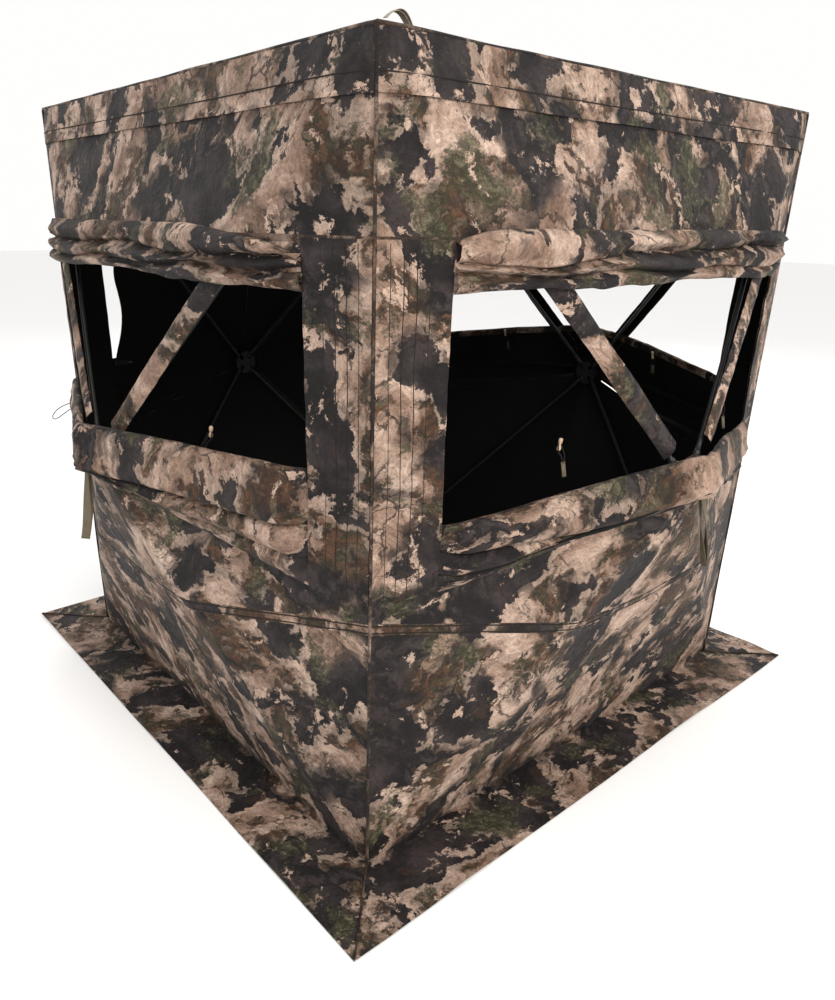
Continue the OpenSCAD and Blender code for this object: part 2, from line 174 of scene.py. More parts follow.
def foldsAt(place, u, z):
    u, z = np.ravel(u), np.ravel(z)
    seed = np.full(len(u), 3.7 * place)
    down = z - middleOf(place)
    r = np.hypot(u, down) + 1e-6
    near = np.exp(-(r / folds["hubReach"]) ** 2)
    out = folds["hub"] * ripple(u / r * 3.1 + r, down / r * 3.1, seed + r) * near * np.clip(r / 0.09, 0, 1)
    for cu in (-half, half):
        for cz in (-reachOf(place), reachOf(place)):
            du, dz = u - cu, z - middleOf(place) - cz
            r = np.hypot(du, dz) + 1e-6
            near = np.exp(-(r / folds["cornerReach"]) ** 2)
            fan = ripple(du / r * 4.3, dz / r * 4.3, seed + r * 2 + cu)
            out += folds["corner"] * fan * near * np.clip(r / 0.05, 0, 1)
    out += folds["broad"] * ripple(u * 2.2, z * 4.6, seed + 20)
    out += folds["small"] * ripple(u * 9 + 3 * z, z * 15, seed + 40)
    out += folds["fine"] * ripple(u * 34, z * 41, seed + 60)
    across, down = levels(place, u, z)
    edge = np.clip(np.minimum(across, down) / 0.05, 0, 1)
    ridge = 0.35 + 0.65 * np.clip(np.abs(across - down) / 0.06, 0, 1)
    return out * edge * ridge


def surface(place, u, z, lift=0.0):
    return standOut(place, u, z) + foldsAt(place, u, z) + lift


# shader graphs
class Wire:
    def __init__(self, graph, socket):
        self.graph, self.socket = graph, socket
        self.isVector = socket.type in ("VECTOR", "RGBA")

    def calc(self, operation, first, second):
        vector = any(isinstance(x, Wire) and x.isVector or isinstance(x, tuple) for x in (first, second))
        if vector:
            first, second = [x if isinstance(x, (Wire, tuple)) else (x, x, x) for x in (first, second)]
            return self.graph.node("ShaderNodeVectorMath", {"operation": operation}, {0: first, 1: second})
        return self.graph.node("ShaderNodeMath", {"operation": operation}, {0: first, 1: second})

    def __add__(self, other): return self.calc("ADD", self, other)
    def __radd__(self, other): return self.calc("ADD", other, self)
    def __sub__(self, other): return self.calc("SUBTRACT", self, other)
    def __rsub__(self, other): return self.calc("SUBTRACT", other, self)
    def __mul__(self, other): return self.calc("MULTIPLY", self, other)
    def __rmul__(self, other): return self.calc("MULTIPLY", other, self)
    def __truediv__(self, other): return self.calc("DIVIDE", self, other)
    def __abs__(self): return self.graph.node("ShaderNodeMath", {"operation": "ABSOLUTE"}, {0: self})


class Graph:
    def __init__(self, name):
        self.material = bpy.data.materials.new(name)
        self.material.use_nodes = True
        self.tree = self.material.node_tree
        self.shader = self.tree.nodes["Principled BSDF"]

    def node(self, kind, settings=None, inputs=None, out=0):
        made = self.tree.nodes.new(kind)
        for key, value in (settings or {}).items():
            if key == "stops":
                ramp = made.color_ramp
                while len(ramp.elements) < len(value):
                    ramp.elements.new(0.5)
                for element, (at, colour) in zip(ramp.elements, value):
                    element.position, element.color = at, (*colour, 1)
            else:
                setattr(made, key, value)
        for key, value in (inputs or {}).items():
            self.feed(made.inputs[key], value)
        return Wire(self, made.outputs[out])

    def feed(self, socket, value):
        if isinstance(value, Wire):
            self.tree.links.new(value.socket, socket)
        elif socket.type == "RGBA" and not isinstance(value, (int, float)):
            socket.default_value = (*value, 1)
        else:
            socket.default_value = value

    def noise(self, place, scale, detail=4.0, rough=0.55, twist=0.0, out="Fac"):
        return self.node("ShaderNodeTexNoise", {"noise_dimensions": "3D"},
                         {"Vector": place, "Scale": scale, "Detail": detail, "Roughness": rough,
                          "Distortion": twist}, out)

    def step(self, value, low, top):
        return self.node("ShaderNodeMapRange", {"interpolation_type": "SMOOTHSTEP"},
                         {"Value": value, "From Min": low, "From Max": top})

    def mix(self, amount, first, second):
        return self.node("ShaderNodeMix", {"data_type": "RGBA"}, {0: amount, 6: first, 7: second}, 2)

    def bump(self, height, strength, distance, normal=None):
        inputs = {"Height": height, "Strength": strength, "Distance": distance}
        if normal is not None:
            inputs["Normal"] = normal
        return self.node("ShaderNodeBump", {}, inputs)

    def finish(self, colour, roughness, normal=None, **fixed):
        self.feed(self.shader.inputs["Base Color"], colour)
        self.feed(self.shader.inputs["Roughness"], roughness)
        if normal is not None:
            self.feed(self.shader.inputs["Normal"], normal)
        for key, value in fixed.items():
            self.shader.inputs[key.replace("_", " ")].default_value = value
        return self.material


# the printed cloth
printed = {"tanDark": (0.115, 0.068, 0.046), "tanMid": (0.245, 0.160, 0.118), "tanLight": (0.445, 0.330, 0.262),
           "charcoal": (0.0050, 0.0034, 0.0036), "slate": (0.031, 0.0225, 0.0225), "rust": (0.082, 0.038, 0.019),
           "bark": (0.024, 0.012, 0.0075), "moss": (0.024, 0.0225, 0.0105), "lichen": (0.130, 0.114, 0.066),
           "line": (0.009, 0.005, 0.004), "shapes": 4.1}


def printedCloth(name, shade=1.0):
    g = Graph(name)
    spot = g.node("ShaderNodeUVMap", {"uv_map": "cloth"})
    size = printed["shapes"]
    bend = g.noise(spot, 3.2, 3.0, 0.5, out="Color") - (0.5, 0.5, 0.5)
    p = spot + bend * 0.20
    torn = g.noise(spot, 30.0, 7.0, 0.68, out="Color") - (0.5, 0.5, 0.5)
    q = p + torn * 0.050

    # pale stretches of bark: broad tone, grain that runs along the shapes, flecks and cracks
    tone = g.noise(p, size * 2.1, 5.0, 0.62)
    pale = g.node("ShaderNodeValToRGB", {"stops": [(0.32, printed["tanDark"]), (0.47, printed["tanMid"]),
                                                  (0.64, printed["tanLight"])]}, {0: tone})
    field = g.noise(p, size * 0.9, 1.5, 0.45, 0.4)
    rings = g.node("ShaderNodeMath", {"operation": "PINGPONG"}, {0: field * 40.0 + tone * 3.0, 1: 0.5})
    grainHere = g.step(g.noise(spot + (4.1, 2.2, 0.0), 4.4, 3.0, 0.6), 0.48, 0.62)
    colour = g.mix(grainHere * (1 - g.step(rings, 0.02, 0.16)) * 0.50, pale, printed["bark"])
    fleck = g.noise(q, 80.0, 6.0, 0.75)
    colour = g.mix(g.step(fleck, 0.48, 0.66) * 0.42, colour, printed["tanDark"])
    crack = g.node("ShaderNodeTexVoronoi", {"feature": "DISTANCE_TO_EDGE", "voronoi_dimensions": "3D"},
                   {"Vector": q, "Scale": 9.0}, "Distance")
    crackHere = g.step(g.noise(spot, 6.0, 2.0, 0.5), 0.49, 0.56)
    colour = g.mix((1 - g.step(crack, 0.008, 0.034)) * crackHere * 0.85, colour, printed["line"])

    # clumps of small leaves: each leaf takes one of four colours, with dark gaps between
    cell = g.node("ShaderNodeTexVoronoi", {"voronoi_dimensions": "3D"}, {"Vector": q + torn * 0.02, "Scale": 62.0},
                  "Color")
    pick = g.node("ShaderNodeSeparateColor", {}, {0: cell}, 0)
    leafStops = [(0.0, printed["bark"]), (0.34, printed["rust"]), (0.60, printed["moss"]), (0.95, printed["tanMid"])]
    leaf = g.node("ShaderNodeValToRGB", {"stops": leafStops}, {0: pick * 0.6 + tone * 0.9 - 0.22})
    leaf = g.mix(g.step(g.noise(q, 44.0, 5.0, 0.72), 0.44, 0.60) * 0.75, leaf, printed["line"])
    leafField = g.noise(q + (7.3, 1.9, 0.0), size * 1.5, 6.0, 0.60)
    leafMask = g.step(leafField + (fleck - 0.5) * 0.14, 0.495, 0.530)
    colour = g.mix(g.step(leafField, 0.45, 0.51) * 0.50, colour, printed["tanDark"])
    colour = g.mix(leafMask, colour, leaf)

    # dark smooth patches, each with a soft shadow on one side and a pale torn rim on the other
    darkScale = size * 1.30
    darkField = g.noise(q, darkScale, 5.0, 0.55)
    shadeField = g.noise(q + (0.014, -0.020, 0.0), darkScale, 5.0, 0.55)
    rimField = g.noise(q + (-0.009, 0.012, 0.0), darkScale, 5.0, 0.55)
    darkMask = g.step(darkField, 0.535, 0.545)
    colour = g.mix(g.step(shadeField, 0.510, 0.575) * 0.75, colour, printed["charcoal"])
    colour = g.mix(g.step(rimField, 0.500, 0.530) * (1 - darkMask) * 0.40, colour, printed["tanLight"])
    darkTone = g.mix(g.step(g.noise(p + (3.0, 5.0, 0.0), 9.0, 6.0, 0.65), 0.40, 0.66), printed["charcoal"],
                     printed["slate"])
    colour = g.mix(darkMask, colour, darkTone)

    # winding dark boughs with paler hearts, and a shadow along one side
    bough = abs(g.noise(q + (1.0, 6.0, 0.0), 3.3, 2.5, 0.5, 0.3) - 0.5)
    shadow = abs(g.noise(q + (1.010, 5.986, 0.0), 3.3, 2.5, 0.5, 0.3) - 0.5)
    boughHere = g.step(g.noise(spot + (8.0, 8.0, 0.0), 3.1, 3.0, 0.55), 0.46, 0.54)
    boughWide = 0.016 + 0.036 * g.noise(spot + (2.0, 3.0, 0.0), 5.0, 2.0, 0.5)
    colour = g.mix((1 - g.step(shadow, 0.012, 0.050)) * boughHere * 0.7, colour, printed["charcoal"])
    inside = 1 - g.step(bough / boughWide, 0.85, 1.0)
    heart = g.mix((1 - g.step(bough / boughWide, 0.15, 0.80)) * g.step(g.noise(q, 30.0, 5.0, 0.7), 0.40, 0.58),
                  printed["charcoal"], printed["slate"])
    colour = g.mix(inside * boughHere, colour, heart)

    # moss and lichen in clumps, over everything
    mossField = g.noise(q + (13.0, 4.0, 0.0), size * 1.5, 5.0, 0.62)
    speck = g.noise(spot, 110.0, 5.0, 0.75)
    mossMask = g.step(mossField + (speck - 0.5) * 0.34, 0.560, 0.630)
    mossTone = g.mix(g.step(g.noise(q, 60.0, 6.0, 0.78), 0.46, 0.66), printed["moss"], printed["lichen"])
    colour = g.mix(mossMask * 0.86, colour, mossTone)

    # pale torn flakes, small dark leaves and fine twigs
    flake = g.noise(q + (2.7, 9.1, 0.0), size * 3.4, 7.0, 0.66)
    colour = g.mix(g.step(flake, 0.605, 0.62), colour, g.mix(fleck, printed["tanLight"], printed["tanMid"]))
    leafSpot = g.noise(q + (5.5, 3.3, 0.0), size * 4.4, 6.0, 0.62)
    colour = g.mix(g.step(leafSpot, 0.630, 0.642) * 0.92, colour, printed["bark"])
    twig = abs(g.noise(q + (1.0, 16.0, 0.0), 6.2, 2.0, 0.5) - 0.5)
    twigHere = g.step(g.noise(spot + (18.0, 8.0, 0.0), 3.6, 2.0, 0.5), 0.52, 0.58)
    colour = g.mix((1 - g.step(twig, 0.002, 0.007)) * twigHere * 0.85, colour, printed["line"])
    colour = colour * (0.62 + 0.76 * g.step(g.noise(q, 130.0, 5.0, 0.75), 0.30, 0.70))
    if shade < 1:
        colour = g.mix(1 - shade, colour, (0.010, 0.007, 0.006))

    creases = g.bump(g.noise(spot, 15.0, 7.0, 0.66, 0.9), 0.85, 0.009)
    crumple = abs(g.noise(spot, 26.0, 5.0, 0.6, 0.5) - 0.5)
    creases = g.bump(crumple, 0.55, 0.016, creases)
    thread = g.bump(g.noise(spot, 900.0, 2.0, 0.6), 0.35, 0.0006, creases)
    rough = 0.58 + 0.20 * g.noise(spot, 22.0, 3.0, 0.5)
    return g.finish(colour, rough, thread, Sheen_Weight=0.02, Sheen_Roughness=0.5, Specular_IOR_Level=0.22)


def blackCloth(name, base=(0.0035, 0.0034, 0.0034)):
    g = Graph(name)
    spot = g.node("ShaderNodeUVMap", {"uv_map": "cloth"})
    colour = g.mix(g.noise(spot, 6.0, 4.0, 0.6), base, tuple(2.4 * x for x in base))
    creases = g.bump(g.noise(spot, 18.0, 5.0, 0.6), 0.4, 0.004)
    return g.finish(colour, 0.82 + 0.1 * g.noise(spot, 40.0, 3.0, 0.5), creases, Specular_IOR_Level=0.2)


def webbingCloth(name, dark, pale, sheen=0.05):
    g = Graph(name)
    spot = g.node("ShaderNodeUVMap", {"uv_map": "cloth"})
    x = g.node("ShaderNodeSeparateXYZ", {}, {0: spot}, 0)
    y = g.node("ShaderNodeSeparateXYZ", {}, {0: spot}, 1)
    ribs = g.node("ShaderNodeMath", {"operation": "SINE"}, {0: y * 2600.0 + g.noise(spot, 300.0, 2.0) * 2.0})
    rows = g.node("ShaderNodeMath", {"operation": "SINE"}, {0: x * 2100.0})
    weave = ribs * 0.5 + rows * 0.35
    colour = g.mix(g.noise(spot, 60.0, 4.0, 0.6) * 0.6 + g.step(weave, -0.8, 0.8) * 0.4, dark, pale)
    return g.finish(colour, 0.78 + 0.1 * g.noise(spot, 90.0, 3.0), g.bump(weave, 0.6, 0.0006),
                    Sheen_Weight=sheen, Sheen_Roughness=0.5, Specular_IOR_Level=0.2)


def moulded(name, colour, pale, rough, scale=60.0, metal=0.0):
    g = Graph(name)
    spot = g.node("ShaderNodeTexCoord", {}, {}, "Object")
    grain = g.noise(spot, scale, 5.0, 0.6)
    tone = g.mix(g.step(grain, 0.35, 0.75), colour, pale)
    return g.finish(tone, rough + 0.15 * g.noise(spot, scale * 0.4, 3.0), g.bump(grain, 0.25, 0.0008), Metallic=metal)


def rodFinish(name):
    g = Graph(name)
    spot = g.node("ShaderNodeTexCoord", {}, {}, "Object")
    streak = g.noise(spot * (30.0, 30.0, 6.0), 18.0, 4.0, 0.6)
    colour = g.mix(streak, (0.006, 0.006, 0.006), (0.020, 0.0195, 0.0185))
    return g.finish(colour, 0.42 + 0.2 * streak, g.bump(streak, 0.15, 0.0005), Coat_Weight=0.06)


cloth = printedCloth("printedCloth")
seamCloth = printedCloth("seamTape", 0.55)
lining = blackCloth("blackLining")
olive = webbingCloth("oliveWebbing", (0.055, 0.044, 0.027), (0.165, 0.135, 0.090))
cream = webbingCloth("creamWebbing", (0.20, 0.175, 0.13), (0.38, 0.34, 0.265))
zipTape = webbingCloth("zipTape", (0.006, 0.006, 0.006), (0.025, 0.025, 0.024))
stitching = webbingCloth("stitching", (0.006, 0.0045, 0.004), (0.020, 0.015, 0.012), 0.0)
elastic = webbingCloth("blackElastic", (0.005, 0.005, 0.005), (0.018, 0.018, 0.018), 0.0)
blackPlastic = moulded("blackPlastic", (0.005, 0.005, 0.005), (0.014, 0.014, 0.0135), 0.50)
tanPlastic = moulded("tanPlastic", (0.36, 0.25, 0.16), (0.50, 0.38, 0.26), 0.42)
bareSteel = moulded("bareSteel", (0.42, 0.42, 0.43), (0.60, 0.60, 0.60), 0.28, 220.0, 1.0)
fibreglass = rodFinish("fibreglass")
print("materials made")


def pathLength(points):
    return sum((Vector(b) - Vector(a)).length for a, b in zip(points, points[1:]))


# elastic cord at the end of the front window's cover
cinch = {"width": 0.0026, "route": [(-0.600, -0.789, 0.816), (-0.608, -0.799, 0.815), (-0.618, -0.811, 0.811),
         (-0.629, -0.824, 0.804), (-0.639, -0.836, 0.795), (-0.647, -0.846, 0.784), (-0.651, -0.852, 0.773),
         (-0.650, -0.853, 0.765), (-0.645, -0.848, 0.763), (-0.638, -0.839, 0.768), (-0.630, -0.829, 0.777),
         (-0.621, -0.818, 0.787), (-0.612, -0.807, 0.796), (-0.603, -0.796, 0.805)]}


def cordCurve(name, route, width):
    curve = bpy.data.curves.new(name, "CURVE")
    curve.dimensions, curve.bevel_depth, curve.bevel_resolution = "3D", width / 2, 3
    spline = curve.splines.new("POLY")
    spline.points.add(len(route) - 1)
    for point, place in zip(spline.points, route):
        point.co = (*place, 1)
    curve.materials.append(elastic)
    curve.use_fill_caps = True
    piece = bpy.data.objects.new(name, curve)
    bpy.context.scene.collection.objects.link(piece)
    return piece


cord = cordCurve("cinch_elastic", cinch["route"], cinch["width"])
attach(cord, "root")
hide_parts("cinch_cord")
print("cord made")


# floor and world
def makeStudio():
    mesh = bpy.data.meshes.new("studioFloor")
    far = studio["floorReach"]
    mesh.from_pydata([(-far, -far, -0.002), (far, -far, -0.002), (far, far, -0.002), (-far, far, -0.002)], [],
                     [(0, 1, 2, 3)])
    g = Graph("floorFinish")
    spot = g.node("ShaderNodeTexCoord", {}, {}, "Object")
    tone = g.mix(g.noise(spot, 1.5, 3.0), studio["floor"], tuple(0.98 * x for x in studio["floor"]))
    mesh.materials.append(g.finish(tone, 0.7 + 0.1 * g.noise(spot, 4.0, 2.0)))
    floor = bpy.data.objects.new("studioFloor", mesh)
    bpy.context.scene.collection.objects.link(floor)
    world = bpy.data.worlds.new("studioWorld")
    world.use_nodes = True
    back = world.node_tree.nodes["Background"]
    back.inputs["Color"].default_value = (*studio["world"], 1)
    back.inputs["Strength"].default_value = studio["worldPower"]
    bpy.context.scene.world = world
    bpy.context.scene.view_settings.view_transform = "Standard"


makeStudio()


# meshes
def meshObject(name, points, faces, uvs, materials, faceMaterials=None, loopNormals=None):
    mesh = bpy.data.meshes.new(name)
    mesh.from_pydata([tuple(p) for p in points], [], faces)
    layer = mesh.uv_layers.new(name="cloth")
    layer.data.foreach_set("uv", np.asarray(uvs, np.float32).ravel())
    for material in materials:
        mesh.materials.append(material)
    if faceMaterials is not None:
        mesh.polygons.foreach_set("material_index", np.asarray(faceMaterials, np.int32))
    mesh.polygons.foreach_set("use_smooth", [True] * len(faces))
    mesh.update()
    if loopNormals is not None:
        mesh.normals_split_custom_set([tuple(v) for v in loopNormals])
    piece = bpy.data.objects.new(name, mesh)
    bpy.context.scene.collection.objects.link(piece)
    return piece


def doubled(name, points, normals, faces, faceUvs, materials, thick):
    # two layers of cloth, closed round the edge: printed outside, the second material inside
    points, normals = np.asarray(points, float), np.asarray(normals, float)
    count = len(points)
    allPoints = np.concatenate([points, points - normals * thick])
    outFaces = [tuple(f) for f in faces]
    inFaces = [tuple(i + count for i in reversed(f)) for f in faces]
    sides = {}
    for f in faces:
        for a, b in zip(f, f[1:] + f[:1]):
            sides[(a, b)] = sides.get((a, b), 0) + 1
    rims = [(b, a, a + count, b + count) for a, b in sides if (b, a) not in sides]
    uvAt = {}
    uvs, loopNormals = [], []
    for f, fuv in zip(faces, faceUvs):
        for i, uv in zip(f, fuv):
            uvs.append(uv)
            loopNormals.append(normals[i])
            uvAt[i] = uv
    for f, fuv in zip(faces, faceUvs):
        for i, uv in zip(reversed(f), reversed(fuv)):
            uvs.append(uv)
            loopNormals.append(-normals[i])
    for f in rims:
        a, b, c = (Vector(allPoints[i]) for i in f[:3])
        side = (b - a).cross(c - b)
        side = side.normalized() if side.length > 1e-12 else Vector((0, 0, 1))
        for i in f:
            uvs.append(uvAt.get(i % count, (0, 0)))
            loopNormals.append(np.array(side))
    slots = [0] * len(outFaces) + [1] * len(inFaces) + [0] * len(rims)
    return meshObject(name, allPoints, outFaces + inFaces + rims, uvs, materials, slots, loopNormals)


def blendEnds(place, sector):
    ends = {"top": (0, 0, high), "low": (0, 0, 0), "right": (half, 0, hubHigh), "left": (-half, 0, hubHigh)}
    if place == roof:
        ends = {"top": (0, 0, half), "low": (0, 0, -half), "right": (half, 0, 0), "left": (-half, 0, 0)}
    return tuple(toRow(place, [ends[sector]])[0]), tuple(toRow(place, [(0, 0, middleOf(place))])[0])


def followHub(piece, place, sector):
    start, end = blendEnds(place, sector)
    "hub_" + placeName(place)
    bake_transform(piece)


def sectorOf(place, u, z):
    across, down = levels(place, u, z)
    if across < down:
        return "right" if u > 0 else "left"
    return "top" if z > middleOf(place) else "low"


def cutAcross(bm, through, normal):
    bmesh.ops.bisect_plane(bm, geom=bm.verts[:] + bm.edges[:] + bm.faces[:], dist=1e-6, plane_co=through,
                           plane_no=Vector(normal).normalized())


def cutRidges(bm, place):
    # in wall space: x is u, y is n, z is z
    for sign in (1, -1):
        cutAcross(bm, (0, 0, middleOf(place)), (reachOf(place), 0, -sign * half))


def laidOut(bm, place):
    # points, normals, faces and UVs of a mesh in wall space, taken to where the wall stands
    bm.normal_update()
    bm.verts.index_update()
    layer = bm.loops.layers.uv.active
    points = toRow(place, [v.co[:] for v in bm.verts])
    normals = turnRow(place, [v.normal[:] for v in bm.verts])
    faces = [tuple(reversed([v.index for v in f.verts])) for f in bm.faces]
    faceUvs = [list(reversed([tuple(l[layer].uv) for l in f.loops])) for f in bm.faces]
    return points, normals, faces, faceUvs


def piecesOf(bm, place, name, materials, thick=None, replace=(), skip=()):
    # splits what lies on a wall along its ridges, into one piece for each sector between them
    cutRidges(bm, place)
    bmesh.ops.remove_doubles(bm, verts=bm.verts[:], dist=2e-5)
    bm.normal_update()
    uvLayer = bm.loops.layers.uv.active
    groups = {}
    for f in bm.faces:
        c = f.calc_center_median()
        groups.setdefault(sectorOf(place, c.x, c.z), []).append(f)
    made = []
    for sector, found in groups.items():
        if sector in skip:
            continue
        index, points, normals, faces, faceUvs = {}, [], [], [], []
        for f in found:
            ids = []
            for loop in f.loops:
                v = loop.vert
                if v.index not in index or index[v.index][0] is not v:
                    index[v.index] = (v, len(points))
                    points.append(v.co[:])
                    normals.append(v.normal[:])
                ids.append(index[v.index][1])
            faces.append(tuple(ids))
            faceUvs.append([tuple(loop[uvLayer].uv) for loop in f.loops])
        points, normals = toRow(place, points), turnRow(place, normals)
        label = f"{name}_{sector}"
        faces = [tuple(reversed(f)) for f in faces]       # wall space is mirrored, so the faces turn round
        faceUvs = [list(reversed(f)) for f in faceUvs]
        if thick:
            piece = doubled(label, points, normals, faces, faceUvs, materials, thick)
        else:
            flat = [uv for f in faceUvs for uv in f]
            loopNormals = [normals[i] for f in faces for i in f]
            piece = meshObject(label, points, faces, flat, materials, None, loopNormals)
        followHub(piece, place, sector)
        size = sum(f.calc_area() for f in found)
        wide = float(np.max(np.ptp(points, 0)))
        if thick and wide > 0.02 and size / wide > 0.011:
            round(size / wide, 3)
        made.append(piece)
    if made and replace:
        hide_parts(*replace)
    bm.free()
    return made


def gridMesh(rows, uvRows, closed=False):
    # rows of points in wall space, with a UV for each; closed joins each row's ends
    bm = bmesh.new()
    layer = bm.loops.layers.uv.new("cloth")
    made = [[bm.verts.new(tuple(map(float, p))) for p in row] for row in rows]
    count = len(rows[0])
    for r in range(len(rows) - 1):
        for c in range(count if closed else count - 1):
            d = (c + 1) % count
            quad = [(r, c), (r, d), (r + 1, d), (r + 1, c)]
            f = bm.faces.new([made[i][j] for i, j in quad])
            f.smooth = True
            for loop, (i, j), wrap in zip(f.loops, quad, (0, closed and d == 0, closed and d == 0, 0)):
                loop[layer].uv = uvRows[i][count] if wrap else uvRows[i][j]
    return bm


def uvFor(place, u, z):
    return (float(u) + 1.9 * place + 0.4, float(z) + 0.35 * place)


def outwardFacing(bm):
    # wall space is mirrored: faces that look outward have n pointing along their normal
    bm.normal_update()
    lean = sum(f.normal.y * f.calc_area() for f in bm.faces)
    if lean < 0:
        bmesh.ops.reverse_faces(bm, faces=bm.faces[:])
    return bm


# wall and roof cloth
window = {"end": 0.600, "top": 1.242, "sillEnd": 0.665, "sillMid": 0.800}


def sillAt(u):
    return window["sillEnd"] + (window["sillMid"] - window["sillEnd"]) * (1 - abs(u) / window["end"])


def inWindow(u, z):
    return abs(u) < window["end"] and sillAt(u) < z < window["top"]


def sheetOver(place, cuts, keep, lift=0.0, step=None, extra=None, box=None, shift=None):
    step = step or shelter["clothStep"]     # shift moves the points along u before they take the wall's shape
    u0, u1, z0, z1 = box or ((-half, half, -half, half) if place == roof else (-half, half, 0.0, high))
    nu, nz = max(2, round((u1 - u0) / step)), max(2, round((z1 - z0) / step))
    bm = bmesh.new()
    layer = bm.loops.layers.uv.new("cloth")
    grid = [[bm.verts.new((u0 + (u1 - u0) * i / nu, 0, z0 + (z1 - z0) * j / nz)) for i in range(nu + 1)]
            for j in range(nz + 1)]
    for j in range(nz):
        for i in range(nu):
            bm.faces.new((grid[j][i], grid[j][i + 1], grid[j + 1][i + 1], grid[j + 1][i]))
    for (a, b) in cuts:
        cutAcross(bm, (a[0], 0, a[1]), (b[1] - a[1], 0, a[0] - b[0]))
    cutRidges(bm, place)
    centres = [(f, f.calc_center_median()) for f in bm.faces]
    bmesh.ops.delete(bm, geom=[f for f, c in centres if not keep(c.x, c.z)], context="FACES")
    for f in bm.faces:
        f.smooth = True
        for loop in f.loops:
            loop[layer].uv = uvFor(place, loop.vert.co.x, loop.vert.co.z)
    u = np.array([v.co.x for v in bm.verts])
    z = np.array([v.co.z for v in bm.verts])
    if shift is not None:
        u = u + shift(u, z)
        for v, a in zip(bm.verts, u):
            v.co.x = a
    out = surface(place, u, z, lift)
    if extra is not None:
        out = out + extra(u, z)
    for v, n in zip(bm.verts, out):
        v.co.y = n
    return outwardFacing(bm)


windowCuts = [((-1, window["top"]), (1, window["top"])), ((window["end"], 0), (window["end"], 1)),
              ((-window["end"], 0), (-window["end"], 1)),
              ((window["end"], window["sillEnd"]), (0, window["sillMid"])),
              ((-window["end"], window["sillEnd"]), (0, window["sillMid"]))]
door = {"edge": 0.700, "hinge": 0.714, "inner": 0.070, "zipGap": 0.025, "top": 1.516, "shellTop": 1.519}


def inDoorSide(u, z):
    reach = hubHigh * abs(u) / half
    return -door["hinge"] < u < 0 and hubHigh - reach < z < min(hubHigh + reach, door["shellTop"])


for wall in range(4):
    label = "shell_" + wallNames[wall]
    if wallNames[wall] == "left":
        cuts = windowCuts + [((-door["hinge"], 0), (-door["hinge"], 1)),
                             ((-1, door["shellTop"]), (1, door["shellTop"]))]
        bm = sheetOver(wall, cuts, lambda u, z: not inDoorSide(u, z) and not (u > 0 and inWindow(u, z)))
    else:
        bm = sheetOver(wall, windowCuts, lambda u, z: not inWindow(u, z))
    piecesOf(bm, wall, label, [cloth, lining], shelter["clothThick"], replace=("wall_" + wallNames[wall],))
piecesOf(sheetOver(roof, [], lambda u, z: True), roof, "roof_cloth", [cloth, lining], shelter["clothThick"],
         replace=("roof_panel",))
print("walls and roof made")


# strips, rolls and bands on the walls
tape = {"thick": 0.0008, "step": 0.011, "thread": 0.0026}


def smoothRow(controls, count):
    # a smooth line through the control rows
    controls = np.asarray(controls, float)
    n = len(controls)
    padded = np.concatenate([2 * controls[:1] - controls[1:2], controls, 2 * controls[-1:] - controls[-2:-1]])
    out = []
    for t in np.linspace(0, n - 1, count):
        i = min(int(t), n - 2)
        f = t - i
        a, b, c, d = padded[i:i + 4]
        out.append(0.5 * (2 * b + (c - a) * f + (2 * a - 5 * b + 4 * c - d) * f * f + (3 * b - a - 3 * c + d) * f ** 3))
    return np.array(out)


def stripMesh(place, line, wide, lift, crown=0.0, across=5):
    # line: rows of (u, z); the strip follows the cloth, wide across, raised in its middle by crown
    line = np.asarray(line, float)
    way = np.gradient(line, axis=0)
    way /= np.linalg.norm(way, axis=1)[:, None] + 1e-9
    side = np.stack([-way[:, 1], way[:, 0]], 1)
    run = np.concatenate([[0], np.cumsum(np.linalg.norm(np.diff(line, axis=0), axis=1))])
    steps = np.linspace(-0.5, 0.5, across)
    cells = [line + side * wide * k for k in steps]
    out = [surface(place, c[:, 0], c[:, 1], lift + crown * (1 - (2 * k) ** 2)) for c, k in zip(cells, steps)]
    rows = [[(cells[k][i][0], out[k][i], cells[k][i][1]) for k in range(across)] for i in range(len(line))]
    uvs = [[(run[i] + 1.9 * place, steps[k] * wide) for k in range(across)] for i in range(len(line))]
    return outwardFacing(gridMesh(rows, uvs))


def along(u0, u1, z):
    # a level or curved line of points; z is a number or a function of u
    us = np.linspace(u0, u1, max(3, int(abs(u1 - u0) / tape["step"])))
    return [(u, z(u) if callable(z) else z) for u in us]


def strips(name, place, lines, wide, lift, materials, crown, skip=()):
    for i, line in enumerate(lines):
        piecesOf(stripMesh(place, line, wide, lift, crown), place, f"{name}{i}", materials, tape["thick"], skip=skip)


# upper covers, rolled up under the wall's upper seam
upperRoll = {"end": 0.598, "top": 1.338, "crease": 1.286, "second": 1.258, "low": 1.238, "deep": 0.031,
             "wrinkle": 0.0100, "stations": 130, "round": 56}


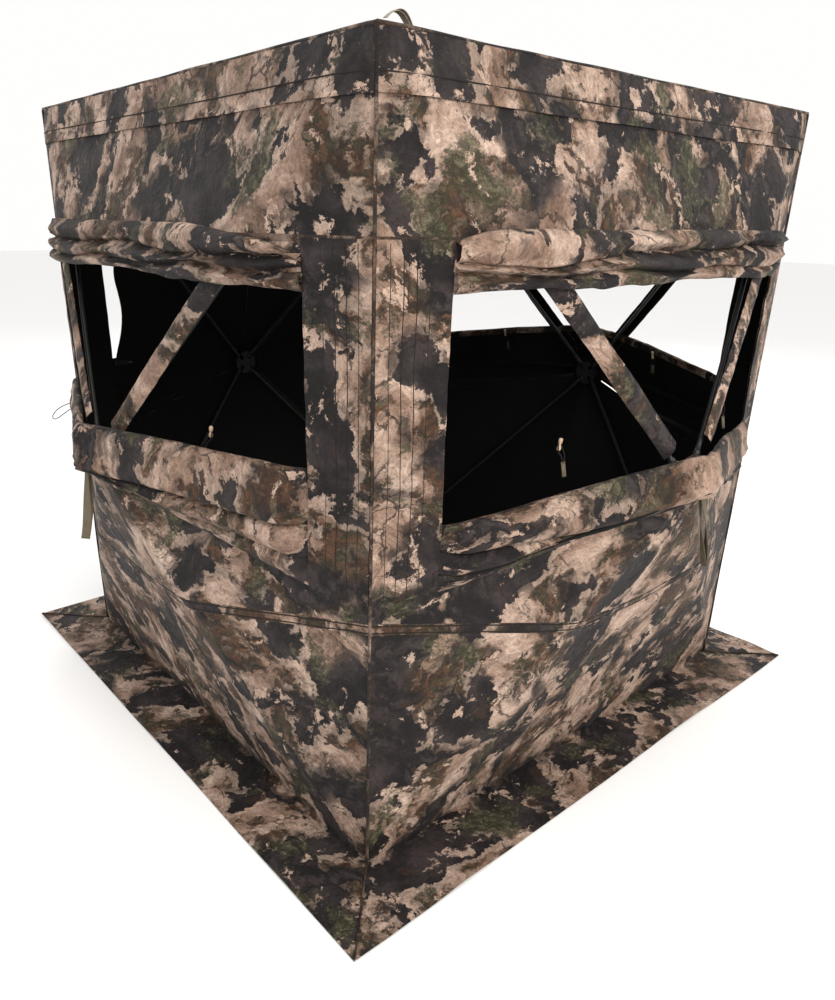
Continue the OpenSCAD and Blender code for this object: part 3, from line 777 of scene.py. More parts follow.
def rolledCover(place, seed):
    roll = upperRoll
    rows, uvs = [], []
    for u in np.linspace(-roll["end"], roll["end"], roll["stations"]):
        e = abs(u) / roll["end"]
        pinch = 1 - 0.34 * max(0.0, (e - 0.86) / 0.14) ** 1.5
        wander = 0.010 * rough(u * 4.1, seed, 0.3) + 0.005 * rough(u * 11.0, seed, 4.0)
        crease = roll["crease"] + 0.020 * rough(u * 3.3, seed, 9.0) + 0.006 * rough(u * 14, seed, 2)
        second = roll["second"] + 0.014 * rough(u * 4.7, seed + 3, 1.0)
        top, low = roll["top"] - 0.020 * (1 - pinch) * 3, roll["low"] - 0.008 * e + wander
        taper = max(0.0, (u / roll["end"] - 0.40) / 0.60) if place == 0 else 0.0     # towards the near corner panel
        top -= 0.034 * taper ** 1.4
        d = roll["deep"] * pinch * (1 - 0.30 * taper)
        puff = 1 + 0.35 * rough(u * 5.2, seed + 7, 0.0)
        ring = [(0.001, top - 0.002), (0.60 * d * puff, top - 0.004), (0.95 * d * puff, (top + crease) / 2),
                (0.50 * d, crease + 0.006), (0.12 * d, crease + 0.002), (0.72 * d, crease - 0.007),
                (1.12 * d / max(puff, 0.7), (crease + second) / 2), (0.80 * d, second + 0.004 + 0.010 * taper),
                (0.46 * d * (1 - taper), second + 0.004 * taper), (0.86 * d, second - 0.007),
                (0.95 * d, (second + low) / 2), (0.55 * d, low), (0.12 * d, low + 0.004), (0.02 * d, low + 0.02),
                (0.004, (top + low) / 2)]
        ring = smoothRow(ring + ring[:1], roll["round"] + 1)[:-1]
        row, uvRow = [], []
        for k, (n, z) in enumerate(ring):
            base = outAt(place, u, max(z, 1.245))
            long = 0.45 - 2 * abs(rough(u * 4.2 + z * 11, z * 46, seed))     # sharp ridges, soft valleys
            fine = 0.4 - 2 * abs(rough(u * 15, z * 105, seed + 5))
            front = min(1.0, max(0.0, n / (0.4 * roll["deep"])))
            n = n + (roll["wrinkle"] * long + 0.0030 * fine) * front
            row.append((u, base + max(n, 0.0008), z + 0.002 * fine * front))
            uvRow.append((u * 1.05 + 2.3 * place + seed, 0.31 * k / roll["round"] + 3.0))
        uvRow.append((u * 1.05 + 2.3 * place + seed, 0.31 + 3.0))
        rows.append(row)
        uvs.append(uvRow)
    bm = outwardFacing(gridMesh(rows, uvs, closed=True))
    piecesOf(bm, place, "upper_cover_" + wallNames[place], [cloth], None,
             replace=("upper_covers",) if place == 0 else ())


for wall in range(3):
    rolledCover(wall, 1.7 + 2.9 * wall)
print("upper covers made")


# lower covers, let down over the hubs
lowerCover = {"end": 0.598, "hidden": 0.612, "settle": 0.046, "underPanel": 0.0016, "stations": 190, "across": 58,
              "wrinkle": 0.0075,
              "front": {"top": [(-0.6, 0.895), (0, 0.905), (0.6, 0.900)],
                        "tuck": [(-0.6, 0.790), (0, 0.800), (0.6, 0.788)],
                        "second": [(-0.6, 0.715), (-0.1, 0.765), (0.1, 0.765), (0.6, 0.712)]},
              "right": {"top": [(-0.6, 0.795), (-0.32, 0.838), (-0.05, 0.884), (0.15, 0.884), (0.385, 0.850),
                                (0.6, 0.826)],
                        "tuck": [(-0.6, 0.738), (-0.3, 0.752), (0.0, 0.790), (0.3, 0.762), (0.6, 0.745)],
                        "second": [(-0.6, 0.690), (-0.1, 0.752), (0.1, 0.752), (0.6, 0.695)]},
              "back": {"top": [(-0.6, 0.905), (-0.3, 0.950), (0, 0.985), (0.3, 0.950), (0.6, 0.905)],
                       "tuck": [(-0.6, 0.790), (0, 0.830), (0.6, 0.790)],
                       "second": [(-0.6, 0.715), (-0.1, 0.770), (0.1, 0.770), (0.6, 0.712)]}}


def lineAt(points, u):
    return float(np.interp(u, [p[0] for p in points], [p[1] for p in points]))


def coverBase(place, u, z):
    # the taut band runs straight from the hub's cap to the corner panels, and falls back to the wall below
    end = lowerCover["end"]
    wall, foot = outAt(place, u, z), outAt(place, end, 0.8)
    taut = foot + (bulge + 0.016 - foot) * max(0.0, 1 - abs(u) / end)
    taut = taut - 1.1 * max(0.0, 0.765 - z) - 0.9 * max(0.0, z - 0.91)
    gap = wall - taut
    return 0.5 * (wall + taut + math.sqrt(gap * gap + 0.012 ** 2))


def loweredCover(place, seed):
    cover = lowerCover
    lines = cover["front" if wallNames[place] == "left" else wallNames[place]]
    rows, uvs = [], []
    for u in np.linspace(-cover["hidden"], cover["hidden"], cover["stations"]):
        e = min(1.0, abs(u) / cover["end"])
        flat = min(1.0, max(0.0, (abs(u) - cover["end"] + cover["settle"]) / cover["settle"]))
        flat = flat * flat * (3 - 2 * flat)             # 1 where the end lies flat under the corner panel
        slow = [rough(u * f, seed, k * 3.1) for k, f in enumerate((3.1, 5.3, 4.2, 7.7))]
        top = lineAt(lines["top"], u) + 0.004 * slow[1]
        tuck = lineAt(lines["tuck"], u) + 0.010 * slow[0]
        second = lineAt(lines["second"], u) + 0.010 * slow[2]
        low = sillAt(u) - 0.012
        second = max(second, low + 0.02)
        squeeze = 1 - 0.55 * max(0.0, (e - 0.9) / 0.1) ** 2
        p = [(-0.012, top - 0.022), (-0.008, top - 0.002), (0.001, top + 0.002), (0.009, top - 0.006),
             (0.016 + 0.006 * slow[3], top - 0.3 * (top - tuck)), (0.022 + 0.007 * slow[0], top - 0.62 * (top - tuck)),
             (0.026, tuck + 0.012), (0.018, tuck - 0.001), (-0.006, tuck + 0.009), (-0.008, tuck - 0.002),
             (0.008 + 0.008 * slow[2], tuck - 0.25 * (tuck - second)),
             (0.024 + 0.010 * slow[1], tuck - 0.68 * (tuck - second)),
             (0.022, second + 0.006), (0.012, second - 0.003), (-0.007, second + 0.004),
             (0.008 + 0.006 * slow[3], second - 0.4 * (second - low)), (0.010, low + 0.010), (0.0035, low)]
        p = smoothRow(p, cover["across"])
        row, uvRow = [], []
        for k, (n, z) in enumerate(p):
            long = 0.4 - 2 * abs(rough(u * 5 + z * 14 * (1 if u > 0 else -1), z * 30, seed))
            fine = 0.4 - 2 * abs(rough(u * 18, z * 70, seed + 2))
            fan = 0.4 - 2 * abs(rough(math.atan2(z - hubHigh, abs(u) + 0.05) * 7, abs(u) * 1.5, seed + 8))
            front = min(1.0, k / 6)
            n = n * squeeze + (cover["wrinkle"] * (0.6 * long + 0.7 * fan) + 0.002 * fine) * front * squeeze
            free = coverBase(place, u, z) + n + 0.006
            if flat > 0:
                wall = float(surface(place, np.array([u]), np.array([z]))[0])
                free += (wall + cover["underPanel"] + 0.03 * n - free) * flat
            row.append((u, free, z))
            uvRow.append((u * 1.04 + 2.7 * place + seed, 0.36 * k / cover["across"] + 5.0 + seed))
        rows.append(row)
        uvs.append(uvRow)
    bm = outwardFacing(gridMesh(rows, uvs))
    if wallNames[place] == "left":          # the door takes the place of the band's left end
        name, replace, skip = "window_cover_left_band", (), ("left",)
    else:
        name, skip = "lower_cover_" + wallNames[place], ()
        replace = (name,)
    piecesOf(bm, place, name, [cloth, lining], shelter["clothThick"], replace=replace, skip=skip)


for wall in range(4):
    loweredCover(wall, 4.4 + 1.3 * wall)
print("lower covers made")

# corner panels, sleeves, hem and seams
panel = {"inner": 0.596, "low": 0.650, "top": 1.318, "lift": 0.0050, "step": 0.0055,
         "channels": (0.026, 0.050, 0.074, 0.098), "channelDeep": 0.0026, "channelWide": 0.0050}


def channelled(u, z):
    edge = half - np.abs(u)
    out = np.zeros(len(u))
    for c in panel["channels"]:
        out -= panel["channelDeep"] * np.exp(-((edge - c) / panel["channelWide"]) ** 2)
    puff = 0.0016 * np.sin(np.clip((edge - 0.014) / 0.024, 0, 4) * math.pi) ** 2
    return out + puff * (edge < 0.11)


def cornerPanel(place, sign):
    u0, u1 = sorted((sign * panel["inner"], sign * (half - 0.0005)))
    bm = sheetOver(place, [], lambda u, z: True, panel["lift"], panel["step"], channelled,
                   (u0, u1, panel["low"], panel["top"]))
    piecesOf(bm, place, "corner_panel_" + sideName(place, sign), [cloth, lining], shelter["clothThick"],
             replace=("corner_panels",) if place == 0 and sign > 0 else ())


def channelStitches(place, sign):
    zs = np.linspace(panel["low"] + 0.006, panel["top"] - 0.006, 110)
    lines = [[(sign * u, z) for z in zs] for u in [half - c for c in panel["channels"]] + [panel["inner"] + 0.008]]
    strips("channel_stitch_" + sideName(place, sign), place, lines, tape["thread"], panel["lift"] - 0.0012,
           [stitching, stitching], 0.0010)


for makeOne in (cornerPanel, channelStitches):
    for wall in range(4):
        for sign in ((1,) if wallNames[wall] == "left" else (-1, 1)):
            makeOne(wall, sign)

sleeve = {"wide": 0.050, "low": 0.105, "high": 0.548, "crown": 0.008, "steps": 46, "across": 9}


def rodSleeve(place, sign):
    rows, uvs = [], []
    way = np.array([half, hubHigh]) / math.hypot(half, hubHigh)
    for i, level in enumerate(np.linspace(sleeve["low"], sleeve["high"], sleeve["steps"])):
        centre = np.array([half, hubHigh]) * level
        n = outAt(place, centre[0], hubHigh + centre[1])
        row, uvRow = [], []
        for k in np.linspace(-0.5, 0.5, sleeve["across"]):
            wide = sleeve["wide"] * (1 + 0.10 * rough(level * 9, sign, place))
            u = sign * (centre[0] + way[1] * wide * k)
            z = hubHigh + centre[1] - way[0] * wide * k
            drop = sleeve["crown"] * (2 * k) ** 2
            wrinkle = 0.0016 * rough(level * 40 + k * 3, k * 4, sign + place)
            row.append((u, n + 0.003 - drop + wrinkle, z))
            uvRow.append((k * sleeve["wide"] + 0.3 * place + sign + 7.0, level * 1.09))
        rows.append(row)
        uvs.append(uvRow)
    bm = outwardFacing(gridMesh(rows, uvs))
    piece = doubled("rod_sleeve_" + sideName(place, sign), *laidOut(bm, place), [cloth, lining], 0.0014)
    bm.free()
    a, b = toRow(place, [[sign * half, 0, high], [0, 0, hubHigh]])
    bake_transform(piece)
    if place == 0 and sign > 0:
        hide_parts("rod_sleeves")


for wall in range(3):
    for sign in (-1, 1):
        rodSleeve(wall, sign)
print("corner panels and sleeves made")

hem = {"low": 1.528, "stitch": 1.558, "lift": 0.0046, "stations": 132, "across": 10}
seams = {"lowMiddle": 0.480, "lowRise": 0.117, "lowBend": 1.25, "lowApart": 0.0075, "lowThread": 0.0030,
         "lowLift": 0.0012, "lowFold": 0.024, "high": 1.3165, "highWide": 0.012}


def lowSeam(u):
    return seams["lowMiddle"] + seams["lowRise"] * (abs(u) / half) ** seams["lowBend"]


def hemAndSeams(place):
    name, count = wallNames[place], hem["across"]
    rows, uvs = [], []
    for u in np.linspace(0.0005 - half, half - 0.0005, hem["stations"]):
        low = hem["low"] + 0.004 * rough(u * 4, place, 2.2)
        zs = np.linspace(low, high - 0.001, count)
        ripples = np.array([0.0016 * rough(u * 16, z * 9, place + 0.5) for z in zs])
        ns = surface(place, np.full(count, u), zs, hem["lift"]) + ripples * np.linspace(1.6, 0.2, count)
        rows.append([(u, n, z) for n, z in zip(ns, zs)])
        uvs.append([(u + 1.3 * place + 2.0, z + 0.71) for z in zs])
    piecesOf(outwardFacing(gridMesh(rows, uvs)), place, "roof_hem_" + name, [cloth, lining], shelter["clothThick"],
             replace=("roof_hem",) if place == 0 else ())
    skip = ("left",) if name == "left" else ()
    reach = half - 0.001
    lines = [along(-reach, reach, lambda u: lowSeam(u) + d) for d in (seams["lowApart"], -seams["lowApart"])]
    strips("low_seam_" + name, place, lines, seams["lowThread"], seams["lowLift"], [stitching, stitching], 0.0004, skip)
    strips("low_fold_" + name, place, [along(-reach, reach, lowSeam)], seams["lowFold"], 0.0004, [cloth, lining],
           0.0011, skip)
    strips("hem_stitch_" + name, place, [along(-reach, reach, hem["stitch"])], tape["thread"], hem["lift"] + 0.0006,
           [stitching, stitching], 0.0005)
    strips("high_seam_" + name, place, [along(-reach, reach, seams["high"])], seams["highWide"], 0.0006,
           [seamCloth, lining], 0.0022, skip)


for wall in range(4):
    hemAndSeams(wall)
print("hem and seams made")

# the left wall's closed cover, and its door
leftCover = {"end": 0.560, "top": 1.322, "lift": 0.0042, "slackFrom": 0.44}


def leftCoverHere(u, z):
    return z > sillAt(u) - 0.012 and u < leftCover["end"] and z < leftCover["top"] and \
        u > -half * abs(z - hubHigh) / hubHigh


def slackEdge(u, z):
    loose = np.clip((u - leftCover["slackFrom"]) / (leftCover["end"] - leftCover["slackFrom"]), 0, 1) ** 2
    return loose * (0.018 * np.sin(9 * z + 0.6) + 0.011 * np.sin(23 * z))


def coverPuckers(u, z):
    pull = np.exp(-((np.asarray(u) - 0.56) / 0.14) ** 2)
    return 0.010 * ripple(u * 3, z * 13, u * 0 + 3.3) * pull + 0.004 * ripple(u * 2, z * 6, u * 0 + 8.8)


coverCuts = [((-1, leftCover["top"]), (1, leftCover["top"])), ((leftCover["end"], 0), (leftCover["end"], 1)),
             windowCuts[3]]
bm = sheetOver(3, coverCuts, leftCoverHere, leftCover["lift"], extra=coverPuckers, shift=slackEdge)
piecesOf(bm, 3, "window_cover_left", [cloth, lining], shelter["clothThick"], replace=("window_cover_left",))


def flapMesh():
    # rows run from the hinge side to the hub, and each row goes up between the two zips
    rows, uvs = [], []
    for u in np.concatenate([[-door["hinge"] + 0.0008], np.linspace(-door["edge"], -door["inner"], 56)]):
        reach = hubHigh * abs(u) / half - door["zipGap"]
        low, top = hubHigh - reach, min(hubHigh + reach, door["top"])
        zs = np.linspace(low, top, 84)
        n = surface(3, np.full(84, u), zs)
        rows.append([(u, a, z) for a, z in zip(n, zs)])
        uvs.append([uvFor(3, u, z) for z in zs])
    return outwardFacing(gridMesh(rows, uvs))


def rigidPiece(bm, place, name, materials, thick, body, replace=()):
    # a piece that lies on a wall but rides one body, with no bending
    points, normals, faces, faceUvs = laidOut(bm, place)
    size, wide = sum(f.calc_area() for f in bm.faces), float(np.max(np.ptp(points, 0)))
    piece = doubled(name, points, normals, faces, faceUvs, materials, thick)
    if size / wide > 0.011:
        round(size / wide, 3)
    bm.free()
    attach(piece, body)
    if replace:
        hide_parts(*replace)


def doorStitch(name, line, wide=tape["thread"], lift=0.0007):
    rigidPiece(stripMesh(3, line, wide, lift, 0.0004), 3, name, [stitching, stitching], tape["thick"], "door")


rigidPiece(flapMesh(), 3, "door_flap_cloth", [cloth, lining], shelter["clothThick"], "door", replace=("door_flap",))

zips = {"from": -0.710, "to": -0.066, "stations": 90, "inset": 0.0140, "tape": 0.0285, "thick": 0.0010,
        "coil": 0.0026, "coilsApart": 0.0009, "stitchInset": 0.0262, "hingeStitches": (-0.694, -0.682)}


def zipLine(sign, inset, u0, u1, top):
    us = np.linspace(u0, u1, zips["stations"])
    line = [(u, hubHigh + sign * (hubHigh * abs(u) / half - inset)) for u in us]
    return [p for p in line if p[1] < top]


for sign, label in ((1, "High"), (-1, "Low")):
    line = zipLine(sign, zips["inset"], zips["from"], zips["to"], door["top"] + 0.012)
    rigidPiece(stripMesh(3, line, zips["tape"], -0.0012), 3, "zip_tape" + label, [zipTape, zipTape], zips["thick"],
               "door_side", ("door_zips",) if sign > 0 else ())
    for k, shift in enumerate((-zips["coilsApart"], zips["coilsApart"])):
        coil = [(u, z + sign * shift) for u, z in line]
        rigidPiece(stripMesh(3, coil, zips["coil"], 0.0006, 0.0016), 3, f"zip_coil{label}{k}", [zipTape, zipTape],
                   tape["thick"], "door_side")
    doorStitch("door_stitch" + label, zipLine(sign, zips["stitchInset"], -0.697, -0.072, door["top"] - 0.002))
for k, u in enumerate(zips["hingeStitches"]):
    doorStitch(f"door_hinge_stitch{k}", [(u, z) for z in np.linspace(0.072, 1.508, 120)])
for k, d in enumerate((seams["lowApart"], -seams["lowApart"])):
    doorStitch(f"door_low_seam{k}", [(u, lowSeam(u) + d) for u in np.linspace(-0.698, -0.34, 36)],
               seams["lowThread"], seams["lowLift"])
print("left cover and door made")


# edges that stay with the shell: corner seams, roof piping, ground flap
def tubeMesh(name, path, radius, material, sides=8, closed=False, blendTo=None, swell=None):
    # swell thickens the tube at each point; blendTo holds the hub's body and the two ends of the bend, but only its
    # presence is read: with it the tube keeps its baked place, without it the tube rides the root
    path = [Vector(p) for p in path]
    count = len(path)
    points, uvs, faces, run = [], [], [], 0.0
    side = None
    for i, p in enumerate(path):
        before, after = ((i - 1) % count, (i + 1) % count) if closed else (max(i - 1, 0), min(i + 1, count - 1))
        way = (path[after] - path[before]).normalized()
        side = way.orthogonal().normalized() if side is None else (side - way * side.dot(way)).normalized()
        other = way.cross(side)
        r = radius * (swell[i] if swell else 1)
        points += [p + (side * math.cos(math.tau * k / sides) + other * math.sin(math.tau * k / sides)) * r
                   for k in range(sides)]
        if i:
            run += (p - path[i - 1]).length
        uvs.append(run)
    loopUvs = []
    for i in range(count if closed else count - 1):
        j = (i + 1) % count
        for k in range(sides):
            m = (k + 1) % sides
            faces.append((i * sides + k, i * sides + m, j * sides + m, j * sides + k))
            v = math.tau * radius / sides
            far = uvs[j] if j else run + 0.01
            loopUvs += [(uvs[i], k * v), (uvs[i], (k + 1) * v), (far, (k + 1) * v), (far, k * v)]
    if not closed:
        faces += [tuple(reversed(range(sides))), tuple((count - 1) * sides + k for k in range(sides))]
        loopUvs += [(0, 0)] * (2 * sides)
    piece = meshObject(name, points, faces, loopUvs, [material])
    if blendTo:
        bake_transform(piece)
    else:
        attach(piece, "root")
    return piece


edges = {"piping": 0.0036, "corner": 0.0032}
corners = [(half, -half), (half, half), (-half, half), (-half, -half)]
for i, (x, y) in enumerate(corners):
    out = Vector((x, y, 0)).normalized() * 0.0012
    line = [(x + out.x + 0.0012 * rough(z * 5, i, 0), y + out.y + 0.0012 * rough(z * 5, i, 5), z)
            for z in np.linspace(0.004, high - 0.002, 130)]
    tubeMesh(f"corner_seam{i}", line, edges["corner"], seamCloth)
rim = []
for i, (x, y) in enumerate(corners):
    x2, y2 = corners[(i + 1) % 4]
    for k in range(60):
        t = k / 60
        lift = 0.0020 * rough(t * 9, i * 3.0, 0)
        rim.append((x + (x2 - x) * t, y + (y2 - y) * t, high + 0.001 + lift))
tubeMesh("roof_piping", rim, edges["piping"], seamCloth, closed=True)

flap = {"rise": 0.0065, "across": 15, "stations": 150, "thick": 0.0018, "seam": 0.0021}


def groundFlap(place):
    wide, across, count = shelter["skirtWide"], flap["across"], flap["stations"]
    rows, uvs = [], []
    for j in range(across):
        d = wide * j / (across - 1)
        row, uvRow = [], []
        for i in range(count):
            s = -1 + 2 * i / (count - 1)
            u = s * (half + d)
            edge = 0.5 - 0.5 * math.cos(math.pi * min(1, j / (across - 1)))
            wave = rough(u * 3.3, d * 3, place + 0.5) + 0.5 * rough(u * 9, d * 9, place)
            near = min(1.0, (1 - abs(s)) * half / 0.06)
            z = 0.0024 + max(0.0, flap["rise"] * wave) * (0.3 + 0.7 * edge) * (0.25 + 0.75 * near)
            n = d + (0.004 * rough(u * 2.1, place, 7) if j == across - 1 else 0) * near - 0.001
            row.append((u, n, z))
            uvRow.append((u + 1.9 * place + 0.4, -d + 0.35 * place))
        rows.append(row)
        uvs.append(uvRow)
    bm = gridMesh(rows, uvs)
    bm.normal_update()
    if sum(f.normal.z * f.calc_area() for f in bm.faces) < 0:
        bmesh.ops.reverse_faces(bm, faces=bm.faces[:])
    rigidPiece(bm, place, "ground_flap_" + wallNames[place], [cloth, lining], flap["thick"], "root",
               replace=("ground_skirt",) if place == 0 else ())


for wall in range(4):
    groundFlap(wall)
    x, y = corners[wall]
    stretch = [1 + t * shelter["skirtWide"] / half for t in np.linspace(0.01, 0.985, 24)]
    line = [(x * k, y * k, 0.0046) for k in stretch]
    tubeMesh(f"mitre_seam{wall}", line, flap["seam"], seamCloth, sides=6)
print("edges and ground flap made")

# sprung rods, bowed inside the cloth
rod = {"radius": 0.0055, "socket": 0.052, "socketThick": 1.42, "tip": 0.045, "tipThick": 1.45, "steps": 60,
       "tipIn": 0.070, "tipDown": 0.075, "tipBehind": 0.030, "hubBehind": 0.028, "hubEnd": 0.030}


def sprungRod(place, signU, signZ, node):
    middle, rise = middleOf(place), riseOf(place)
    tipU = half - rod["tipIn"]
    tipZ = half - rod["tipIn"] if place == roof else hubHigh - rod["tipDown"]
    atHub = rod["hubEnd"] / math.hypot(tipU, tipZ)
    even = np.linspace(0, 1, rod["steps"])
    path = []
    for t in even:
        f = atHub + (1 - atHub) * t
        n = (rise - rod["hubBehind"]) * (1 - t) - rod["tipBehind"] * t + shelter["rodBow"] * rise * t * (1 - t) * 0.9
        path.append((signU * tipU * f, n, middle + signZ * tipZ * f))
    points = toRow(place, path)
    span = pathLength([tuple(p) for p in points])
    socketEnd, tipStart, tipEnd = rod["socket"] / span, 1 - rod["tip"] / span, 1 - 0.004 / span
    edge = 1e-4             # each step in thickness has a point close on either side
    steps = sorted(set(even) | {socketEnd - edge, socketEnd + edge, tipStart - edge, tipStart + edge, tipEnd})
    fine = [tuple(np.interp(t, even, points[:, k]) for k in range(3)) for t in steps]
    swell = []
    for t in steps:
        d = t * span
        inTip = span - rod["tip"] < d < span - 0.004
        swell.append(rod["socketThick"] if d < rod["socket"] else rod["tipThick"] if inTip else 1.0)
    corner = toRow(place, [[signU * half, 0, middle + signZ * reachOf(place)]])[0]
    hub = toRow(place, [[0, 0, middle]])[0]
    piece = tubeMesh(node + "_bowed", fine, rod["radius"], fibreglass, sides=12,
                     blendTo=("hub_" + placeName(place), tuple(corner), tuple(hub)), swell=swell)
    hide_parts(node)


for place in range(5):
    names = ("back", "front") if place == roof else ("top", "low")
    for signZ, row in ((1, names[0]), (-1, names[1])):
        for signU, side in ((-1, "left"), (1, "right")):
            sprungRod(place, signU, signZ, f"rod_{placeName(place)}_{row}_{side}")
print("rods made")


# hub patches, pull straps and toggles
patch = {"inner": 0.034, "outer": 0.098, "underCover": 0.068, "lift": 0.0030}


def hubPatch(place):
    middle = middleOf(place)
    rows, uvs = [], []
    for r in np.linspace(patch["inner"], patch["outer" if place in (3, roof) else "underCover"], 9):
        angles = np.linspace(0, math.tau, 96, endpoint=False)
        u, z = r * np.cos(angles), middle + r * np.sin(angles)
        edge = 1 + 0.02 * ripple(np.cos(angles) * 2, np.sin(angles) * 2, u * 0 + place)
        u, z = u * edge, middle + (z - middle) * edge
        n = surface(place, u, z, patch["lift"])
        rows.append([(a, b, c) for a, b, c in zip(u, n, z)])
        uvs.append([uvFor(place, a + 0.8, c + 0.4) for a, c in zip(u, z)] + [uvFor(place, u[0] + 0.8, z[0] + 0.4)])
    bm = outwardFacing(gridMesh(rows, uvs, closed=True))
    piecesOf(bm, place, "hub_patch_" + placeName(place), [cloth, lining], 0.0014)


for place in range(5):
    hubPatch(place)

strap = {"wide": 0.0200, "thick": 0.0017, "loop": 0.0055, "twist": 1.15, "long": 0.176, "steps": 34,
         "section": [(-0.5, -0.3), (-0.47, -0.5), (-0.16, -0.42), (0.16, -0.42), (0.47, -0.5), (0.5, -0.3), (0.5, 0.3),
                     (0.47, 0.5), (0.16, 0.42), (-0.16, 0.42), (-0.47, 0.5), (-0.5, 0.3)]}


def ribbonMesh(name, path, wides, material):
    # a flat strap: path holds points, wides the direction of its width at each
    path = [Vector(p) for p in path]
    points, faces, loopUvs, run = [], [], [], [0.0]
    count = len(path)
    for a, b in zip(path, path[1:]):
        run.append(run[-1] + (b - a).length)
    section, sides = strap["section"], len(strap["section"])
    for i, p in enumerate(path):
        way = (path[min(i + 1, count - 1)] - path[max(i - 1, 0)]).normalized()
        wide = Vector(wides[i])
        wide = (wide - way * wide.dot(way)).normalized()
        up = way.cross(wide)
        points += [p + wide * (a * strap["wide"]) + up * (b * strap["thick"]) for a, b in section]
    for i in range(count - 1):
        for k in range(sides):
            m = (k + 1) % sides
            faces.append((i * sides + k, i * sides + m, (i + 1) * sides + m, (i + 1) * sides + k))
            a, b = section[k][0] * strap["wide"], section[m][0] * strap["wide"]
            loopUvs += [(a, run[i]), (b, run[i]), (b, run[i + 1]), (a, run[i + 1])]
    faces += [tuple(reversed(range(sides))), tuple((count - 1) * sides + k for k in range(sides))]
    loopUvs += [(0, 0)] * (2 * sides)
    piece = meshObject(name, points, faces, loopUvs, [material])
    return piece


def pullStrap(place):
    # down one layer of the loop and back up the other
    rise = riseOf(place)
    out, wides = [], []
    for layer in (1, -1):
        for t in np.linspace(0, 1, strap["steps"]) if layer == 1 else np.linspace(1, 0, strap["steps"]):
            gap = strap["loop"] * (0.25 + 0.75 * math.sin(math.pi * min(1, t * 1.06)) ** 0.7) * layer
            if t > 0.97:
                gap *= 0.55
            turn = strap["twist"] * t * t * (3 - 2 * t) * (0 if place == roof else 1)
            if place == roof:
                n = rise + 0.012 + 0.042 * math.sin(min(math.pi, 2.6 * t)) + gap * 0.5
                z = -0.004 - 0.098 * t + gap * 0.8
                u = 0.010 * math.sin(2.5 * t)
            else:
                n = rise + 0.0135 + 0.030 * t * t + gap * math.cos(turn) + 0.006 * math.sin(3 * t)
                z = middleOf(place) - 0.006 - strap["long"] * t
                u = 0.014 * math.sin(2.2 * t) + gap * math.sin(turn)
            out.append((u, n, z))
            wides.append((math.cos(turn), -math.sin(turn), 0.06 * math.sin(5 * t)))
    name = "pull_strap_" + placeName(place)
    piece = ribbonMesh(name + "_woven", toRow(place, out), turnRow(place, wides), cream if place == roof else olive)
    followHub(piece, place, "low")
    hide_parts(name)


for place in range(5):
    pullStrap(place)

toggle = {"long": 0.025, "radius": 0.0043, "u": 0.330, "z": 0.917, "inward": 0.028, "cord": 0.0012,
          "outline": [(0.55, 0), (0.9, 0.035), (1, 0.12), (0.96, 0.32), (0.66, 0.40), (0.62, 0.49), (0.66, 0.57),
                      (0.96, 0.65), (1, 0.88), (0.85, 0.98), (0.4, 1.03)],
          "tab": [(-0.006, 0.002, 0.004), (0.006, 0.002, 0.004), (0.006, 0.009, -0.026), (-0.006, 0.009, -0.026)]}


def latheMesh(bm, profile, base, axis, sides, slotIndex):
    axis = Vector(axis).normalized()
    side = axis.orthogonal().normalized()
    other = axis.cross(side)
    rings = []
    for r, h in profile:
        rings.append([bm.verts.new(Vector(base) + axis * h + (side * math.cos(math.tau * k / sides)
                      + other * math.sin(math.tau * k / sides)) * r) for k in range(sides)])
    for a, b in zip(rings, rings[1:]):
        for k in range(sides):
            bm.faces.new((a[k], a[(k + 1) % sides], b[(k + 1) % sides], b[k])).material_index = slotIndex
    bm.faces.new(list(reversed(rings[0]))).material_index = slotIndex
    bm.faces.new(rings[-1]).material_index = slotIndex


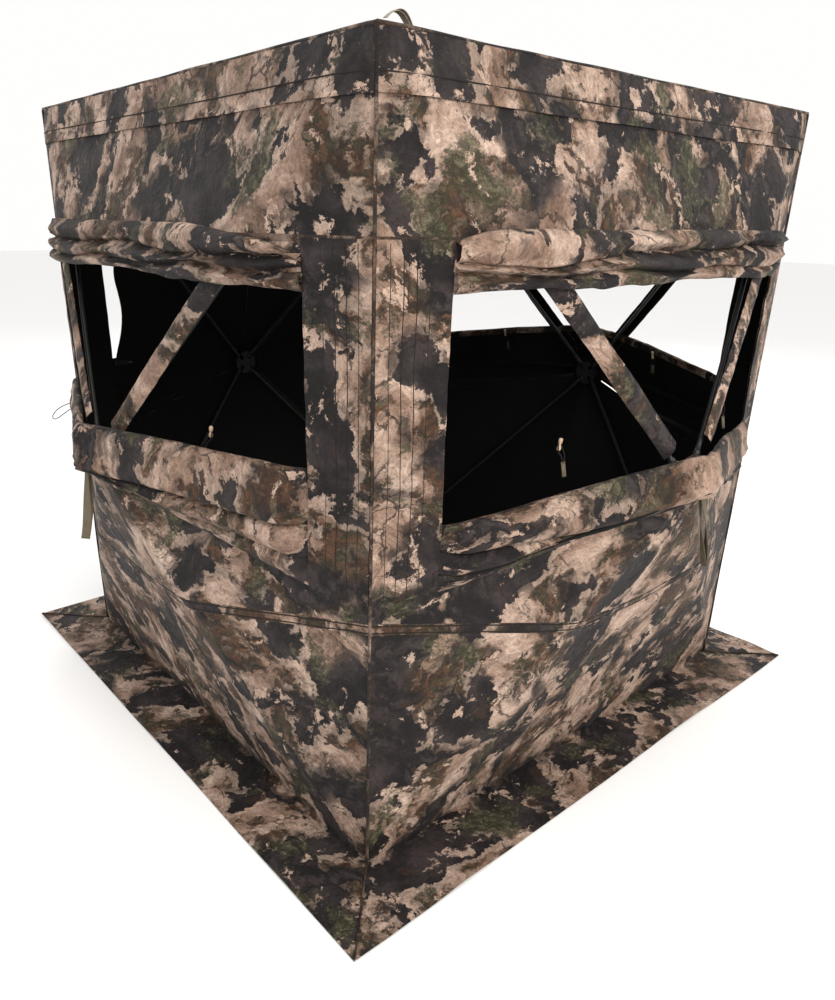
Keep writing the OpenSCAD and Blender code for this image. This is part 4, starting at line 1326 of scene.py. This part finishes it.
def windowToggle(place, sign):
    u, z = sign * toggle["u"], toggle["z"]
    n = bulge * (1 - toggle["u"] / half) - toggle["inward"]
    base, axis = (u, n, z), (0.21, 0.0, 0.98)
    bm = bmesh.new()
    r, long = toggle["radius"], toggle["long"]
    latheMesh(bm, [(r * a, long * b) for a, b in toggle["outline"]], base, axis, 20, 0)
    waist = Vector(base) + Vector(axis).normalized() * long * 0.49
    low = Vector((u - 0.004 * sign, n + 0.010, z - 0.026))
    for k in (-1, 1):
        path = smoothRow([tuple(waist + Vector((0.0038 * k, 0, 0))), tuple(waist + Vector((0.0075 * k, 0.004, -0.012))),
                          tuple(low + Vector((0.005 * k, 0, 0.014))), tuple(low + Vector((0.0015 * k, 0.002, 0)))], 16)
        for a, b in zip(path, path[1:]):
            way = Vector(b) - Vector(a)
            latheMesh(bm, [(toggle["cord"], -0.0003), (toggle["cord"], way.length + 0.0003)], a, way, 8, 1)
    front = [bm.verts.new(low + Vector(p)) for p in toggle["tab"]]
    back = [bm.verts.new(low + Vector((p[0], p[1] - 0.0016, p[2]))) for p in toggle["tab"]]
    bm.faces.new(front).material_index = 2
    bm.faces.new(list(reversed(back))).material_index = 2
    for k in range(4):
        bm.faces.new((front[(k + 1) % 4], front[k], back[k], back[(k + 1) % 4])).material_index = 2
    bmesh.ops.recalc_face_normals(bm, faces=bm.faces[:])
    bm.verts.index_update()
    points = toRow(place, [v.co[:] for v in bm.verts])
    faces = [tuple(reversed([v.index for v in f.verts])) for f in bm.faces]
    uvs = [(points[i][0] + points[i][1], points[i][2]) for f in faces for i in f]
    piece = meshObject("window_toggle_" + sideName(place, sign), points, faces, uvs, [tanPlastic, elastic, olive],
                       [f.material_index for f in bm.faces])
    bm.free()
    followHub(piece, place, "right" if sign > 0 else "left")
    if place == 0 and sign > 0:
        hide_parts("window_toggles")


for wall in range(3):
    for sign in (-1, 1):
        windowToggle(wall, sign)
print("patches, straps and toggles made")

# finishes on the parts kept from the frame
pocketCloth = moulded("pocketCloth", (0.006, 0.006, 0.006), (0.02, 0.02, 0.019), 0.82, 420.0)
for name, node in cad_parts.items():
    if name.startswith("hub_pins") or name == "zip_slider":
        finish = bareSteel
    elif name == "corner_pockets":
        finish = pocketCloth
    elif name.startswith("hub_"):
        finish = blackPlastic
    else:
        continue
    node.data.materials.clear()
    node.data.materials.append(finish)

print("finishes set")
